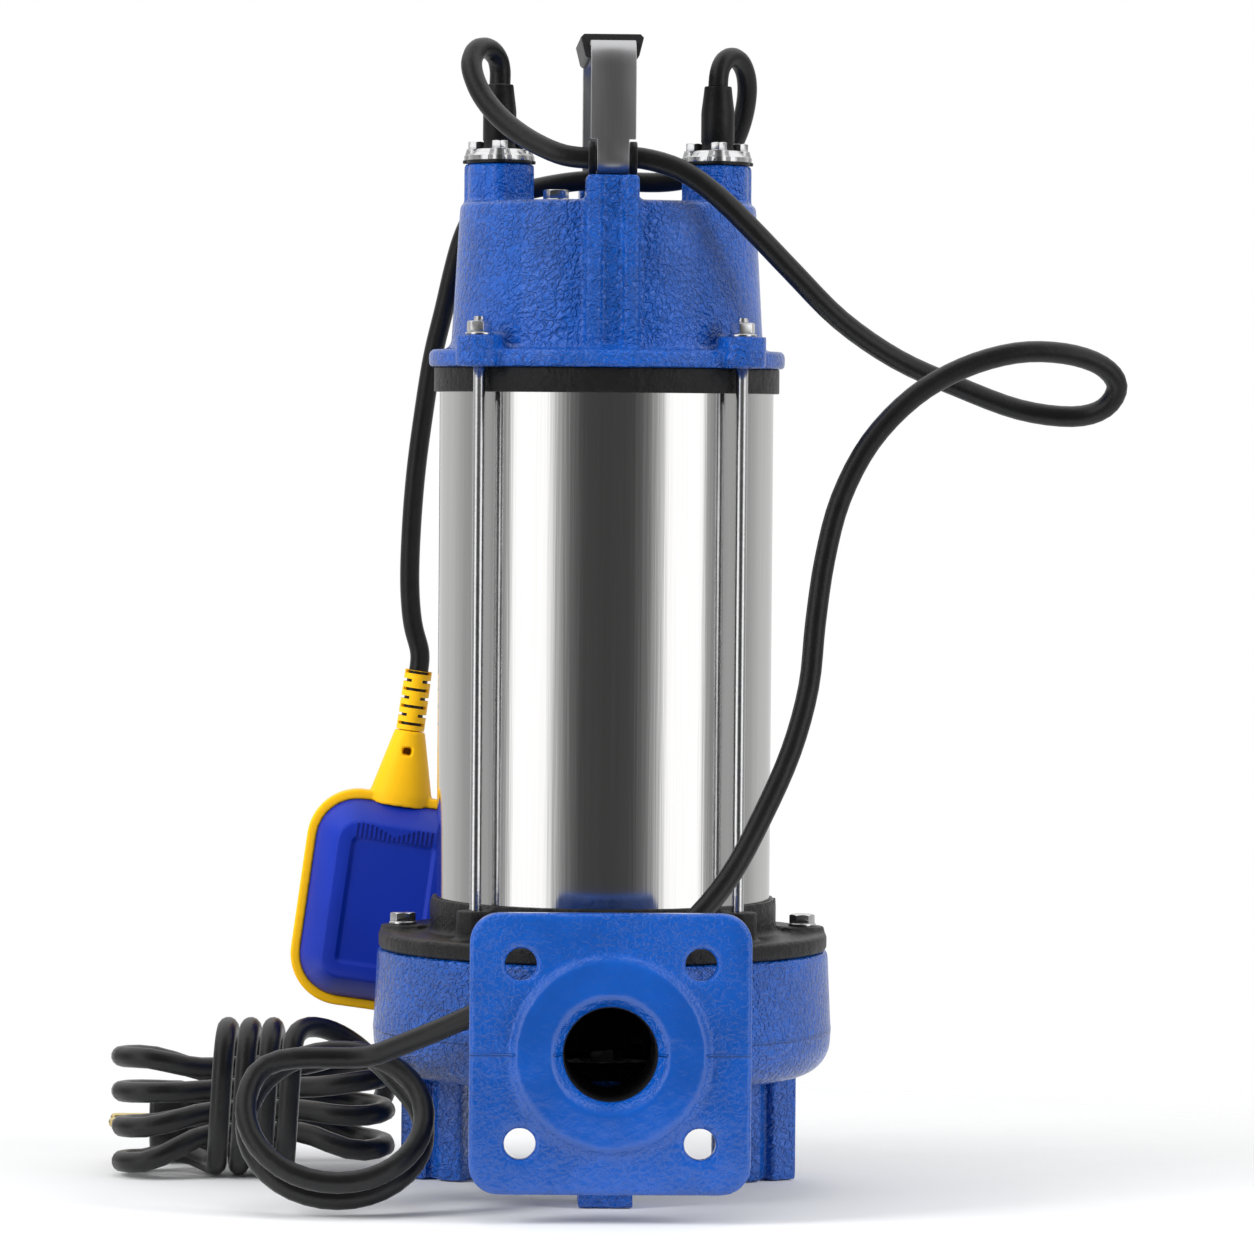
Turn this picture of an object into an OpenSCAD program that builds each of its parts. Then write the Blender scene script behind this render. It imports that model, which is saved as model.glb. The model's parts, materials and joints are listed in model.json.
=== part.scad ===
// Submersible sump pump with a float switch, built as the separate pieces it is assembled from.
// Millimetres. The origin is on the shaft axis at the plane of the feet, +Z is up and the
// outlet points along -Y.

/* [Feet] */
// Height of the casing's underside above the floor
foot_h = 53; // [40:1:80]
// Width of each foot, across its radius
foot_w = 24; // [18:1:30]
// Length of each rear foot along its radius
foot_len = 32; // [24:1:40]
// Radius that the rear feet reach
foot_reach = 98; // [94:1:100]
// Radius that the foot under the outlet reaches
front_foot_reach = 72; // [68:1:76]
// Width of the channel in the sides of a foot
foot_channel_w = 5; // [3:0.5:8]
// Depth of the channel in the sides of a foot
foot_channel_d = 4; // [2:0.5:6]

/* [Volute casing] */
// Outer diameter of the casing at its parting line
casing_d = 207; // [200:1:224]
// Height of the casing
casing_h = 56; // [52:1:70]
// Thickness of the casing's floor
casing_floor = 8; // [6:0.5:12]
// Diameter of the pump chamber
chamber_d = 170; // [166:1:172]
// Height of the outlet's axis above the casing's underside
outlet_rise = 20.5; // [18:0.5:22]
// Diameter of the hole in the floor that takes the suction cover
floor_hole_d = 76; // [70:1:84]

/* [Outlet] */
// Side of the square outlet flange
flange_w = 122; // [112:1:130]
// Thickness of the outlet flange
flange_t = 10; // [8:0.5:12]
// Corner radius of the outlet flange
flange_corner = 13; // [6:0.5:18]
// Distance from the shaft axis to the outlet's sealing face
outlet_reach = 135; // [132:1:145]
// Diameter of the outlet bore
outlet_bore_d = 40; // [32:1:44]
// Diameter of the outlet's chamfered mouth
outlet_mouth_d = 51; // [46:1:56]
// Diameter of the raised sealing face
outlet_pad_d = 82; // [76:1:86]
// Height of the raised sealing face
outlet_pad_t = 3.5; // [1:0.5:5]
// Spacing of the four outlet bolts, each way
outlet_bolt_pitch = 77.8; // [72:0.1:84]
// Diameter of the outlet bolt holes
outlet_bolt_hole_d = 14; // [11:0.5:14]
// Outer diameter of the neck behind the flange
neck_d = 64; // [60:1:66]

/* [Suction cover] */
// Diameter of the suction inlet
inlet_d = 50; // [40:1:56]
// Outer diameter of the cover's rim
cover_d = 96; // [92:1:104]
// Thickness of the cover's rim
cover_rim_t = 5; // [4:0.5:7]
// Height of the boss that centres the cover in the floor
cover_boss_h = 4; // [3:0.5:5]
// Diameter of the cover's screw circle
cover_screw_circle_d = 86; // [84:1:88]

/* [Oil chamber] */
// Diameter of the black flange over the casing
oil_flange_d = 202; // [198:1:206]
// Thickness of the black flange
oil_flange_t = 8; // [6:0.5:12]
// Outer diameter of the collar round the motor tube
collar_d = 156; // [155:0.5:158]
// Height of the collar above the flange
collar_h = 15; // [14:0.5:20]
// Diameter of the oil space
oil_space_d = 120; // [100:1:124]
// Diameter of the casing bolts' circle
casing_bolt_circle_d = 180; // [178:1:182]
// Height of the pads under the casing bolts
bolt_pad_h = 2.5; // [1.5:0.5:4]
// Diameter of the pads under the casing bolts
bolt_pad_d = 20; // [18:0.5:22]

/* [Motor] */
// Outer diameter of the motor tube
tube_d = 150; // [149:0.5:151]
// Wall of the motor tube
tube_wall = 2; // [1.5:0.1:2.5]
// Length of the motor tube
tube_len = 247; // [240:1:300]
// Length of the laminated cores
core_len = 80; // [60:1:84]
// Outer diameter of the rotor core
rotor_d = 75.2; // [70:0.2:76]
// Air gap between rotor and stator
air_gap = 0.4; // [0.4:0.1:0.8]
// Number of stator slots
slot_count = 24; // [18:6:24]
// Outer diameter of the upper bearing bracket
bracket_d = 155.2; // [154.6:0.2:157]
// Height of the bracket's rim
bracket_rim_h = 11; // [10:0.5:14]

/* [Tie rods and bolts] */
// Diameter of the circle of the tie rods
rod_circle_d = 164; // [163:0.5:168]
// Diameter of a tie rod
rod_d = 5.4; // [5:0.1:6]
// Diameter of the bosses in the black casting that take the rods
rod_boss_d = 17; // [15:0.5:20]
// Thread diameter of the casing bolts
bolt_d = 6; // [5:0.5:6]
// Width across flats of the M6 heads and nuts
hex_af = 10; // [9:0.5:11]
// Height of a bolt head
head_h = 4; // [3:0.5:5]
// Height of a tie-rod nut
nut_h = 5; // [4:0.5:6]
// Thickness of a washer
washer_t = 1.2; // [0.8:0.1:2]
// Outer diameter of a washer
washer_d = 12.5; // [11:0.5:14]

/* [Motor cap] */
// Diameter of the cap's flange
cap_flange_d = 160; // [156:1:162]
// Thickness of the cap's flange
cap_flange_t = 8; // [6:0.5:10]
// Diameter of the cap's body over its flange
cap_low_d = 140; // [136:1:144]
// Diameter of the cap's body at its top
cap_top_d = 133; // [130:1:136]
// Height of the cap's body above its flange
cap_h = 66; // [60:1:80]
// Wall of the cap
cap_wall = 6.5; // [5:0.5:8]
// Diameter of the bosses under the tie-rod nuts
cap_boss_d = 21; // [18:0.5:24]
// Height of the bosses above the flange
cap_boss_h = 6; // [4:0.5:10]
// Width of the front and rear ribs
rib_w = 23.4; // [20:0.2:27]
// Distance from the axis to the face of a rib
rib_reach = 74; // [72:0.5:76]
// Height of the ribs above the cap's top
rib_rise = 10.6; // [8:0.2:14]
// Width of the channel down a rib
rib_channel_w = 9; // [6:0.5:12]
// Depth of the channel down a rib
rib_channel_d = 2.5; // [1:0.5:4]

/* [Cable glands] */
// Distance of each gland from the shaft axis
gland_x = 49; // [48:0.5:50]
// Height of a gland boss above the cap's top
gland_boss_h = 17.5; // [15:0.5:20]
// Radius of the middle of a gland boss
gland_core_r = 14; // [13:0.5:15]
// Distance of a gland's screws from its middle
gland_lobe_r = 12; // [11.5:0.5:12.5]
// Radius of each lobe
gland_lobe = 5.4; // [5:0.1:6]
// Thickness of the gland gasket
gland_gasket_t = 1.5; // [1:0.5:3]
// Thickness of the gland plate's rim
gland_plate_t = 2; // [1.5:0.5:3]
// Height of the gland plate's raised middle
gland_dome_h = 3; // [2:0.5:4]
// Diameter of a cable boot
boot_d = 15; // [14:0.5:16]
// Diameter of a cable boot at its tip
boot_tip_d = 11.9; // [11:0.1:13]
// Length of the straight part of a boot above the boss
boot_straight = 21; // [16:1:26]
// Length of the tapered part of a boot
boot_taper = 14.5; // [10:0.5:20]
// Thread diameter of the gland screws
gland_screw_d = 4; // [3:0.5:4]
// Width across flats of the gland screws
gland_screw_af = 7; // [6:0.5:7]

/* [Handle] */
// Width of the handle strap
strap_w = 20; // [16:0.5:22]
// Thickness of the handle strap
strap_t = 2; // [1.5:0.1:2.5]
// Distance from the axis to the outer face of the strap's legs
strap_reach = 70; // [68:0.5:72]
// Height of the strap's top above the cap's top
strap_rise = 70; // [66:1:90]
// Outer bend radius at the top corners
strap_bend = 12; // [8:1:16]
// Width of the tongue that curls round the grommet
tongue_w = 14.2; // [12:0.2:16]
// Outer radius of the curl
curl_r = 7.4; // [7.2:0.1:8]
// Length of the grip
grip_len = 90; // [70:1:100]
// Width of the grip at its top
grip_w = 28; // [26:0.5:32]
// Width of the grip at its lips
grip_low_w = 24; // [23.5:0.5:26]
// Height of the grip
grip_h = 10.6; // [9:0.1:14]

/* [Cables] */
// Outer diameter of the power cable
power_cable_d = 9.5; // [8:0.5:9.5]
// Outer diameter of the float switch's cable
float_cable_d = 9; // [7:0.5:9]

/* [Rotor] */
// Shaft diameter at the lower bearing
shaft_low_d = 17; // [17:1:17]
// Shaft diameter at the upper bearing
shaft_top_d = 15; // [15:1:15]
// Shaft diameter inside the rotor core
shaft_core_d = 24; // [20:1:28]
// Shaft diameter at the shaft seal
shaft_seal_d = 16; // [14:1:16]
// Shaft diameter at the impeller
shaft_impeller_d = 14; // [12:1:14]
// Diameter of the impeller
impeller_d = 124; // [100:1:140]
// Number of impeller vanes
vane_count = 6; // [4:1:8]
// Thickness of a vane
vane_t = 5; // [4:0.5:6]

/* [Float switch] */
// Width of the float
float_w = 81; // [76:1:84]
// Height of the float's body
float_h = 101; // [92:1:108]
// Thickness of the float
float_t = 41.5; // [36:0.5:42]
// Corner radius of the float's body
float_corner = 24; // [16:1:28]
// Thickness of the yellow frame, front to back
frame_t = 11; // [8:0.5:14]
// Wall of the float's shells
float_wall = 2.5; // [2:0.5:3]
// Height of the yellow neck above the body
neck_h = 30; // [26:1:36]
// Width of the neck where it meets the body
float_neck_w = 29; // [26:1:34]
// Length of the ribbed strain relief
relief_len = 28; // [20:1:40]
// Diameter of the strain relief's ribs
relief_d = 12.5; // [11:0.5:14]
// Lean of the float from the vertical, in degrees
float_lean = 7.8; // [0:0.1:9]
// Diameter of the float's steel ball
ball_d = 16; // [12:0.5:18]
// Travel of the float's ball
ball_travel = 16; // [8:1:20]

/* [Hidden] */

$fn = 64;
eps = 0.01;
fit = 0.02;         // radial clearance of a fit
slip = 0.2;         // radial clearance of a loose joint
turn = 0.5;         // clearance round what turns
bolt_angles = [0, 90, 180, 270];
rod_angles = [45, 135, 225, 315];
foot_angles = [30, 150];

// Heights of the stack
casing_z = foot_h;
chamber_z = casing_z + casing_floor;
outlet_z = casing_z + outlet_rise;
oil_z = casing_z + casing_h;
collar_z = oil_z + oil_flange_t;
collar_top = collar_z + collar_h;
tube_seat = 12;
tube_z = collar_top - tube_seat;
tube_top = tube_z + tube_len;
bracket_top = tube_top + 3;
bracket_z = bracket_top - bracket_rim_h;
cap_z = bracket_top;
cap_body_z = cap_z + cap_flange_t;
cap_top = cap_body_z + cap_h;
cap_boss_top = cap_body_z + cap_boss_h;
rib_top = cap_top + rib_rise;
gland_z = cap_top + gland_boss_h;
gland_plate_z = gland_z + gland_gasket_t;
gland_top = gland_plate_z + gland_plate_t + gland_dome_h;
boot_top = gland_z + boot_straight + boot_taper;
strap_top = cap_top + strap_rise;

// Radii that follow
tube_r = tube_d / 2;
tube_in_r = tube_r - tube_wall;
spigot_r = tube_in_r - 0.3;
chamber_r = chamber_d / 2;
casing_r = casing_d / 2;
casing_seam = 2;                       // how far the casing draws in above its parting line
casing_round = 16;                     // size of the casing's rounded lower edge
flange_back = outlet_reach - outlet_pad_t - flange_t;
bolt_r = bolt_d / 2;
rod_r = rod_d / 2;

// Shaft seal and lower bearing, up the shaft
plate_t = 8;
spigot_h = 6;
plate_z = oil_z - spigot_h;
oil_floor = plate_z + plate_t;
oil_roof_z = oil_floor + 35;
oil_roof_t = 7;
oil_skirt_r = oil_space_d / 2 + (spigot_r - oil_space_d / 2) * 0.5276;   // outside of the wall round the oil space
lower_bearing_z = oil_roof_z + oil_roof_t;
lower_bearing = [shaft_low_d / 2, 20, 12, 3.37, 8];    // bore, outside, width, ball, count
upper_bearing = [shaft_top_d / 2, 17.5, 11, 3, 8];
upper_bearing_z = tube_top - 19.5;
seat_r = 17;
seat_bore_r = shaft_seal_d / 2 + 2;
lip_r = 15;
oring_r = 1.35;
core_z = lower_bearing_z + 42;
rotor_r = rotor_d / 2;
stator_bore_r = rotor_r + air_gap;
slot_in = stator_bore_r + 2;
slot_out = slot_in + 16;
impeller_z = chamber_z + 5;
nut_washer_t = 1.5;
nut_reach = 8.5;                       // how far the impeller's nut and the shaft end reach below it
vane_h = 26;
shroud_t = 5;
hub_top = impeller_z + vane_h + shroud_t + 1;
key_w = 4;

// Handle and grommet
curl_y = -strap_reach + curl_r;
curl_z = rib_top + curl_r;
sleeve_r = curl_r - strap_t - 0.05;
grommet_flange_r = curl_r - 0.1;
grommet_len = 21.5;
grommet_flange_t = 3.4;
ear_len = 22;
handle_screw_y = 50;

// Float, placed by the top of its neck
float_top = [-87.4, 98, 201.7];
float_switch_z = -neck_h - 34;
float_switch_top = -neck_h - 9.6;

// Routes of the cables, chosen by hand
power_route = [[-49, 0, 497], [-49, 0, 503.5], [-50.5, -2.5, 509], [-54.5, -8, 512.5],
    [-59.5, -15, 511.5], [-62, -21.5, 505.5], [-60.5, -27.5, 497.5], [-56, -34, 488.5],
    [-48, -42, 479], [-37, -51.5, 470.5], [-24, -60, 464], [-13, -62.6, 462], [0, -62.6, 462],
    [13, -62.6, 462], [30, -63, 457], [46, -63, 446], [62, -60, 431], [80, -54, 413],
    [102, -44, 392], [128, -33, 375], [156, -25, 363], [184, -20, 353], [208, -20, 350],
    [222, -24, 354], [227, -29, 364], [219, -35, 373], [202, -41, 378], [180, -46, 378],
    [156, -50, 371], [134, -54, 358], [115, -57, 338], [102, -59, 313], [95, -61, 286],
    [91, -63, 258], [88, -67, 230], [80, -75, 202], [67, -86, 174], [52, -99, 148],
    [34, -109, 128], [16, -113, 118], [0, -113.5, 112.8], [-18, -113.2, 107.3],
    [-38, -110, 99], [-58, -103, 88.5], [-75, -94, 80], [-92, -83, 72]];
float_route = [[49, 0, 497], [49, 0, 503], [51, 2.5, 508.5], [55, 7, 511.5], [60, 13, 509],
    [63, 18.5, 501.5], [63, 23.5, 491], [60, 28.5, 478], [54, 32.5, 466.5], [43, 34.5, 458.5],
    [28, 34, 455], [10, 32, 455], [-8, 31, 455.5], [-24, 32.5, 453.5], [-38, 37, 450.5],
    [-49, 43.5, 449], [-58, 51, 443], [-64.5, 58, 431], [-69, 64, 415], [-73, 69, 397],
    [-78, 75, 376], [-82, 81, 350], [-85.5, 86, 322], [-87.5, 91, 294], [-88, 95, 268],
    [-86, 97.5, 248], [-82.4, 98, 238.4], [-83.6, 98, 229.5]];

// Pile of power cable: two loops that lean on the outlet's side, and behind them a hank with
// wraps round its waist. Sizes to the middle of the cable, and where they lie.
loops_at = [-119, -86, 39.7];
loop_r = 37;
loop_lean = 40;
loops_t = 22;
hank_at = [-157.9, 47.3];
lobe_x = 41.5;
lobe_r = 18.9;
hank_top = 60;
wraps_x = [-174.5, -139.8];
wraps_r = 20.5;
wraps_rise = 22;

// Plug, lying behind the hank with its face to the left
plug_tail = [-143, 101, 19];
plug_len = 64;
plug_r = 18.7;
plug_shoulder = 48;
pin_d = 4.8;
pin_len = 19;
pin_pitch = 19;

// ---------------------------------------------------------------- helpers

module barrel(r, z0, z1) {
    translate([0, 0, z0]) cylinder(r = r, h = z1 - z0);
}

module ring(r_out, r_in, z0, z1) {
    difference() {
        barrel(r_out, z0, z1);
        barrel(r_in, z0 - 1, z1 + 1);
    }
}

module around(angles, radius) {
    for (a = angles) rotate([0, 0, a]) translate([radius, 0, 0]) children();
}

module hexagon(af, z0, z1) {
    translate([0, 0, z0]) cylinder(r = af / sqrt(3), h = z1 - z0, $fn = 6);
}

module oring(radius, z) {
    rotate_extrude() translate([radius, z]) circle(r = oring_r, $fn = 24);
}

module rounded_square(w, h, r) {
    square([w - 2 * r, h], center = true);
    square([w, h - 2 * r], center = true);
    for (sx = [-1, 1], sy = [-1, 1])
        translate([sx * (w / 2 - r), sy * (h / 2 - r)]) circle(r = r);
}

module hex_bolt(af, head, r, length) {
    hexagon(af, 0, head);
    barrel(r, -length, eps);
}

function unit(v) = v / max(norm(v), 1e-9);
function arc(c, r, a0, a1, n) = [for (i = [0 : n]) let(a = a0 + (a1 - a0) * i / n)
    c + r * [cos(a), sin(a)]];

// One tube along a route: rings of points that turn as little as they can
function tangent(p, i) = unit(p[min(i + 1, len(p) - 1)] - p[max(i - 1, 0)]);
function level(t, v) = unit(v - (v * t) * t);
function sides_of(p, i, v) = i >= len(p) ? []
    : let(u = level(tangent(p, i), v)) concat([u], sides_of(p, i + 1, u));

module sweep(p, r, sides, first = [0, 1, 0]) {
    us = sides_of(p, 0, first);
    n = len(p);
    points = [for (i = [0 : n - 1]) let(t = tangent(p, i), u = us[i], w = cross(t, u))
        for (k = [0 : sides - 1]) p[i] + r * (cos(360 * k / sides) * u + sin(360 * k / sides) * w)];
    walls = [for (i = [0 : n - 2], k = [0 : sides - 1])
        let(a = i * sides + k, b = i * sides + (k + 1) % sides)
        for (f = [[a, b + sides, b], [a, a + sides, b + sides]]) f];
    ends = [for (k = [1 : sides - 2])
        for (f = [[0, k, k + 1], [(n - 1) * sides, (n - 1) * sides + k + 1, (n - 1) * sides + k]]) f];
    polyhedron(points = points, faces = concat(walls, ends), convexity = 10);
}

// ---------------------------------------------------------------- casing and feet

module foot(reach, length) {
    difference() {
        translate([reach - length, -foot_w / 2, 0]) cube([length, foot_w, foot_h + casing_round / 2]);
        for (s = [-1, 1]) translate([reach - length / 2 - foot_channel_w / 2,
            s * (foot_w / 2) - foot_channel_d, -1])
            cube([foot_channel_w, 2 * foot_channel_d, foot_h + 1 - casing_floor / 2]);
    }
}

module casing_outside() {
    top_r = casing_r - casing_seam;
    rotate_extrude($fn = 96) polygon(concat([[0, casing_z], [casing_r - casing_round - 0.5, casing_z]],
        arc([casing_r - casing_round - 0.5, casing_z + casing_round], casing_round, -84, -6, 8),
        [[casing_r - 0.4, outlet_z - 0.6], [casing_r, outlet_z - 0.6], [casing_r, outlet_z + 0.6],
        [casing_r - 0.4, outlet_z + 0.6], [top_r, oil_z - 1], [top_r - 1, oil_z], [0, oil_z]]));
}

module outlet_neck(grow) {
    translate([0, 0, outlet_z]) rotate([90, 0, 0])
        barrel(neck_d / 2 + grow, chamber_r - 18 - grow, flange_back + 1);
}

module outlet_block() {
    outlet_neck(0);
    translate([0, 0, outlet_z]) rotate([90, 0, 0]) {
        translate([0, 0, flange_back]) linear_extrude(flange_t)
            rounded_square(flange_w, flange_w, flange_corner);
        translate([0, 0, flange_back + flange_t - eps])
            cylinder(r1 = outlet_pad_d / 2 + 2.5, r2 = outlet_pad_d / 2, h = outlet_pad_t + eps);
    }
}

module outlet_cuts() {
    mouth = (outlet_mouth_d - outlet_bore_d) / 2;
    inner = chamber_r + 10;
    translate([0, 0, outlet_z]) rotate([90, 0, 0]) {
        barrel(outlet_bore_d / 2, inner, outlet_reach + 1);
        barrel(outlet_bore_d / 2 - 1, chamber_r - 15, inner + 1);
        translate([0, 0, outlet_reach - mouth])
            cylinder(r1 = outlet_bore_d / 2, r2 = outlet_mouth_d / 2 + 0.1, h = mouth + 0.1);
        for (sx = [-1, 1], sy = [-1, 1])
            translate([sx, sy] * outlet_bolt_pitch / 2)
                barrel(outlet_bolt_hole_d / 2, flange_back - 2, outlet_reach + 1);
    }
}

module volute_casing() {
    color([0.10, 0.31, 0.70]) difference() {
        union() {
            casing_outside();
            outlet_block();
        }
        barrel(chamber_r, chamber_z, oil_z + 1);
        barrel(floor_hole_d / 2, casing_z - 1, chamber_z + 1);
        outlet_cuts();
        around(bolt_angles, casing_bolt_circle_d / 2) barrel(bolt_r, oil_z - 20, oil_z + 1);
        around(rod_angles, cover_screw_circle_d / 2) barrel(2.5, casing_z - 1, chamber_z - 1.5);
    }
}

module casing_feet() {
    color([0.10, 0.31, 0.70]) difference() {
        union() {
            for (a = foot_angles) rotate([0, 0, a]) foot(foot_reach, foot_len);
            rotate([0, 0, -90]) foot(front_foot_reach, foot_len - 8);
        }
        translate([0, 0, -fit]) casing_outside();
        outlet_neck(fit);
    }
}

module suction_cover() {
    color([0.16, 0.17, 0.18]) difference() {
        union() {
            barrel(cover_d / 2, casing_z - cover_rim_t, casing_z);
            barrel(floor_hole_d / 2 - slip, casing_z - eps, casing_z + cover_boss_h);
        }
        barrel(inlet_d / 2, casing_z - cover_rim_t - 1, casing_z + cover_boss_h + 1);
        around(rod_angles, cover_screw_circle_d / 2) barrel(2.75, casing_z - cover_rim_t - 1, casing_z + 1);
    }
}

module suction_cover_screws() {
    color([0.75, 0.76, 0.77]) around(rod_angles, cover_screw_circle_d / 2)
        translate([0, 0, casing_z - cover_rim_t]) rotate([180, 0, 0])
            hex_bolt(8, 3.5, 2.5 - fit, cover_rim_t + 5);
}

module casing_seal() {
    color([0.05, 0.05, 0.05]) oring(chamber_r - 1.45, oil_z - 3);
}

// ---------------------------------------------------------------- oil chamber, seal and lower bearing

module oil_chamber() {
    color([0.12, 0.12, 0.13]) difference() {
        union() {
            rotate_extrude($fn = 96) polygon([[seat_r, plate_z], [chamber_r - slip, plate_z],
                [chamber_r - slip, oil_z], [oil_flange_d / 2 - 1, oil_z],
                [oil_flange_d / 2, oil_z + 1], [oil_flange_d / 2, collar_z - 1.5],
                [oil_flange_d / 2 - 1.5, collar_z], [collar_d / 2 + 1.5, collar_z],
                [collar_d / 2, collar_z + 1.5], [collar_d / 2, collar_top],
                [tube_r + slip, collar_top], [tube_r + slip, tube_z], [spigot_r, tube_z],
                [spigot_r, tube_z + 10], [oil_skirt_r, tube_z + 16],
                [oil_skirt_r, lower_bearing_z], [lower_bearing[1] + 7, lower_bearing_z],
                [lower_bearing[1] + 7, lower_bearing_z + lower_bearing[2]],
                [lower_bearing[1], lower_bearing_z + lower_bearing[2]],
                [lower_bearing[1], lower_bearing_z], [lip_r, lower_bearing_z],
                [lip_r, oil_roof_z], [oil_space_d / 2, oil_roof_z],
                [oil_space_d / 2, oil_floor], [seat_r, oil_floor]]);
            around(bolt_angles, casing_bolt_circle_d / 2)
                barrel(bolt_pad_d / 2, collar_z - 1, collar_z + bolt_pad_h);
            difference() {
                around(rod_angles, rod_circle_d / 2) barrel(rod_boss_d / 2, collar_z - 1, collar_top - 2);
                barrel(tube_r + slip, tube_z, collar_top + 1);
                barrel(tube_in_r, collar_z - 2, tube_z + 1);
            }
        }
        around(bolt_angles, casing_bolt_circle_d / 2)
            barrel(bolt_r + slip, oil_z - 1, collar_z + bolt_pad_h + 1);
        around(rod_angles, rod_circle_d / 2) barrel(rod_r + fit, collar_z - 5, collar_top);
        translate([45, 0, 0]) barrel(5, plate_z - 1, oil_floor + 1);
        rotate_extrude() translate([chamber_r - 2.8, oil_z - 4.5]) square([3, 3]);
        rotate_extrude() translate([spigot_r - 2.4, tube_z + 3.5]) square([3, 3]);
    }
}

module oil_plug() {
    color([0.75, 0.60, 0.30]) translate([45, 0, 0]) difference() {
        barrel(5 - fit, plate_z, oil_floor + 1);
        hexagon(5, plate_z - 1, plate_z + 4);
    }
}

module casing_bolts() {
    color([0.72, 0.73, 0.74]) around(bolt_angles, casing_bolt_circle_d / 2)
        translate([0, 0, collar_z + bolt_pad_h + washer_t])
            hex_bolt(hex_af, head_h, bolt_r - fit, washer_t + bolt_pad_h + oil_flange_t + 16);
}

module washers() {
    color([0.78, 0.79, 0.80]) {
        around(bolt_angles, casing_bolt_circle_d / 2)
            ring(washer_d / 2, bolt_r + slip, collar_z + bolt_pad_h, collar_z + bolt_pad_h + washer_t);
        around(rod_angles, rod_circle_d / 2)
            ring(washer_d / 2, bolt_r + slip, cap_boss_top, cap_boss_top + washer_t);
    }
}

module seal_seat() {
    color([0.90, 0.89, 0.85]) ring(seat_r - fit, seat_bore_r, plate_z, oil_floor);
}

module lip_seal() {
    color([0.25, 0.12, 0.08]) ring(lip_r - fit, shaft_low_d / 2 + turn, oil_roof_z, lower_bearing_z);
}

module bearing_ring(r_out, r_in, b, z) {
    ball_circle = (b[0] + b[1]) / 2;
    difference() {
        ring(r_out, r_in, z, z + b[2]);
        rotate_extrude() translate([ball_circle, z + b[2] / 2]) circle(r = b[3] + 0.08, $fn = 32);
    }
}

module bearing_balls(b, z) {
    ball_circle = (b[0] + b[1]) / 2;
    around([for (i = [0 : b[4] - 1]) 360 * i / b[4]], ball_circle)
        translate([0, 0, z + b[2] / 2]) sphere(r = b[3], $fn = 32);
    ring(ball_circle + 0.9, ball_circle - 0.9, z + b[2] / 2 - 2.6, z + b[2] / 2 + 2.6);
}

module bearing_outer(b, z) {
    color([0.70, 0.71, 0.72]) bearing_ring(b[1] - fit, b[1] - 3.9, b, z);
}

module bearing_inner(b, z) {
    color([0.66, 0.67, 0.68]) bearing_ring(b[0] + 3.7, b[0] + fit, b, z);
}

module lower_bearing_outer() bearing_outer(lower_bearing, lower_bearing_z);
module lower_bearing_inner() bearing_inner(lower_bearing, lower_bearing_z);
module lower_bearing_balls() color([0.85, 0.86, 0.87]) bearing_balls(lower_bearing, lower_bearing_z);
module upper_bearing_outer() bearing_outer(upper_bearing, upper_bearing_z);
module upper_bearing_inner() bearing_inner(upper_bearing, upper_bearing_z);
module upper_bearing_balls() color([0.85, 0.86, 0.87]) bearing_balls(upper_bearing, upper_bearing_z);

// ---------------------------------------------------------------- motor

module tube_seals() {
    color([0.05, 0.05, 0.05]) {
        oring(spigot_r - 1.05, tube_z + 5);
        oring(spigot_r - 1.05, tube_top - 6);
    }
}

module motor_tube() {
    color([0.80, 0.80, 0.80]) ring(tube_r, tube_in_r, tube_z, tube_top);
}

module slots(grow) {
    for (i = [0 : slot_count - 1]) rotate([0, 0, 360 * i / slot_count])
        translate([slot_in - grow, -2.5 - grow]) square([slot_out - slot_in + 2 * grow, 5 + 2 * grow]);
}

module stator_core() {
    color([0.45, 0.45, 0.47]) translate([0, 0, core_z]) linear_extrude(core_len) difference() {
        circle(r = tube_in_r - fit);
        circle(r = stator_bore_r);
        slots(slip);
        for (i = [0 : slot_count - 1]) rotate([0, 0, 360 * i / slot_count])
            translate([stator_bore_r - 1, -1]) square([3, 2]);
    }
}

module stator_windings() {
    end_h = 18;
    color([0.72, 0.36, 0.16]) {
        translate([0, 0, core_z - 1]) linear_extrude(core_len + 2) slots(0);
        for (z = [core_z - end_h, core_z + core_len + slip])
            ring(slot_out + 3, slot_in - 0.5, z, z + end_h - slip);
    }
}

module thermal_protector() {
    color([0.85, 0.85, 0.80]) translate([(slot_in + slot_out) / 2, 0, 0])
        barrel(6, core_z + core_len + 18, core_z + core_len + 23);
}

module upper_bearing_bracket() {
    hub_z = upper_bearing_z;
    roof = upper_bearing_z + upper_bearing[2] + slip;
    color([0.12, 0.12, 0.13]) difference() {
        rotate_extrude($fn = 96) polygon([[0, roof], [upper_bearing[1], roof],
            [upper_bearing[1], hub_z], [upper_bearing[1] + 6, hub_z],
            [upper_bearing[1] + 6, tube_top - 5], [spigot_r - 5, tube_top - 5],
            [spigot_r - 5, tube_top - 14], [spigot_r, tube_top - 14], [spigot_r, tube_top],
            [tube_r + slip, tube_top], [tube_r + slip, bracket_z], [bracket_d / 2, bracket_z],
            [bracket_d / 2, bracket_top], [0, bracket_top]]);
        around(rod_angles, 45) barrel(8, tube_top - 6, bracket_top + 1);
        rotate_extrude() translate([spigot_r - 2.4, tube_top - 7.5]) square([3, 3]);
    }
}

module cap_gasket() {
    color([0.05, 0.05, 0.05]) ring(bracket_d / 2 - 1.5, cap_low_d / 2 - cap_wall + 1, cap_z, cap_z + 1);
}

module tie_rods() {
    color([0.78, 0.79, 0.80]) around(rod_angles, rod_circle_d / 2)
        barrel(rod_r, collar_z - 4, cap_boss_top + washer_t + nut_h + 2);
}

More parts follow.
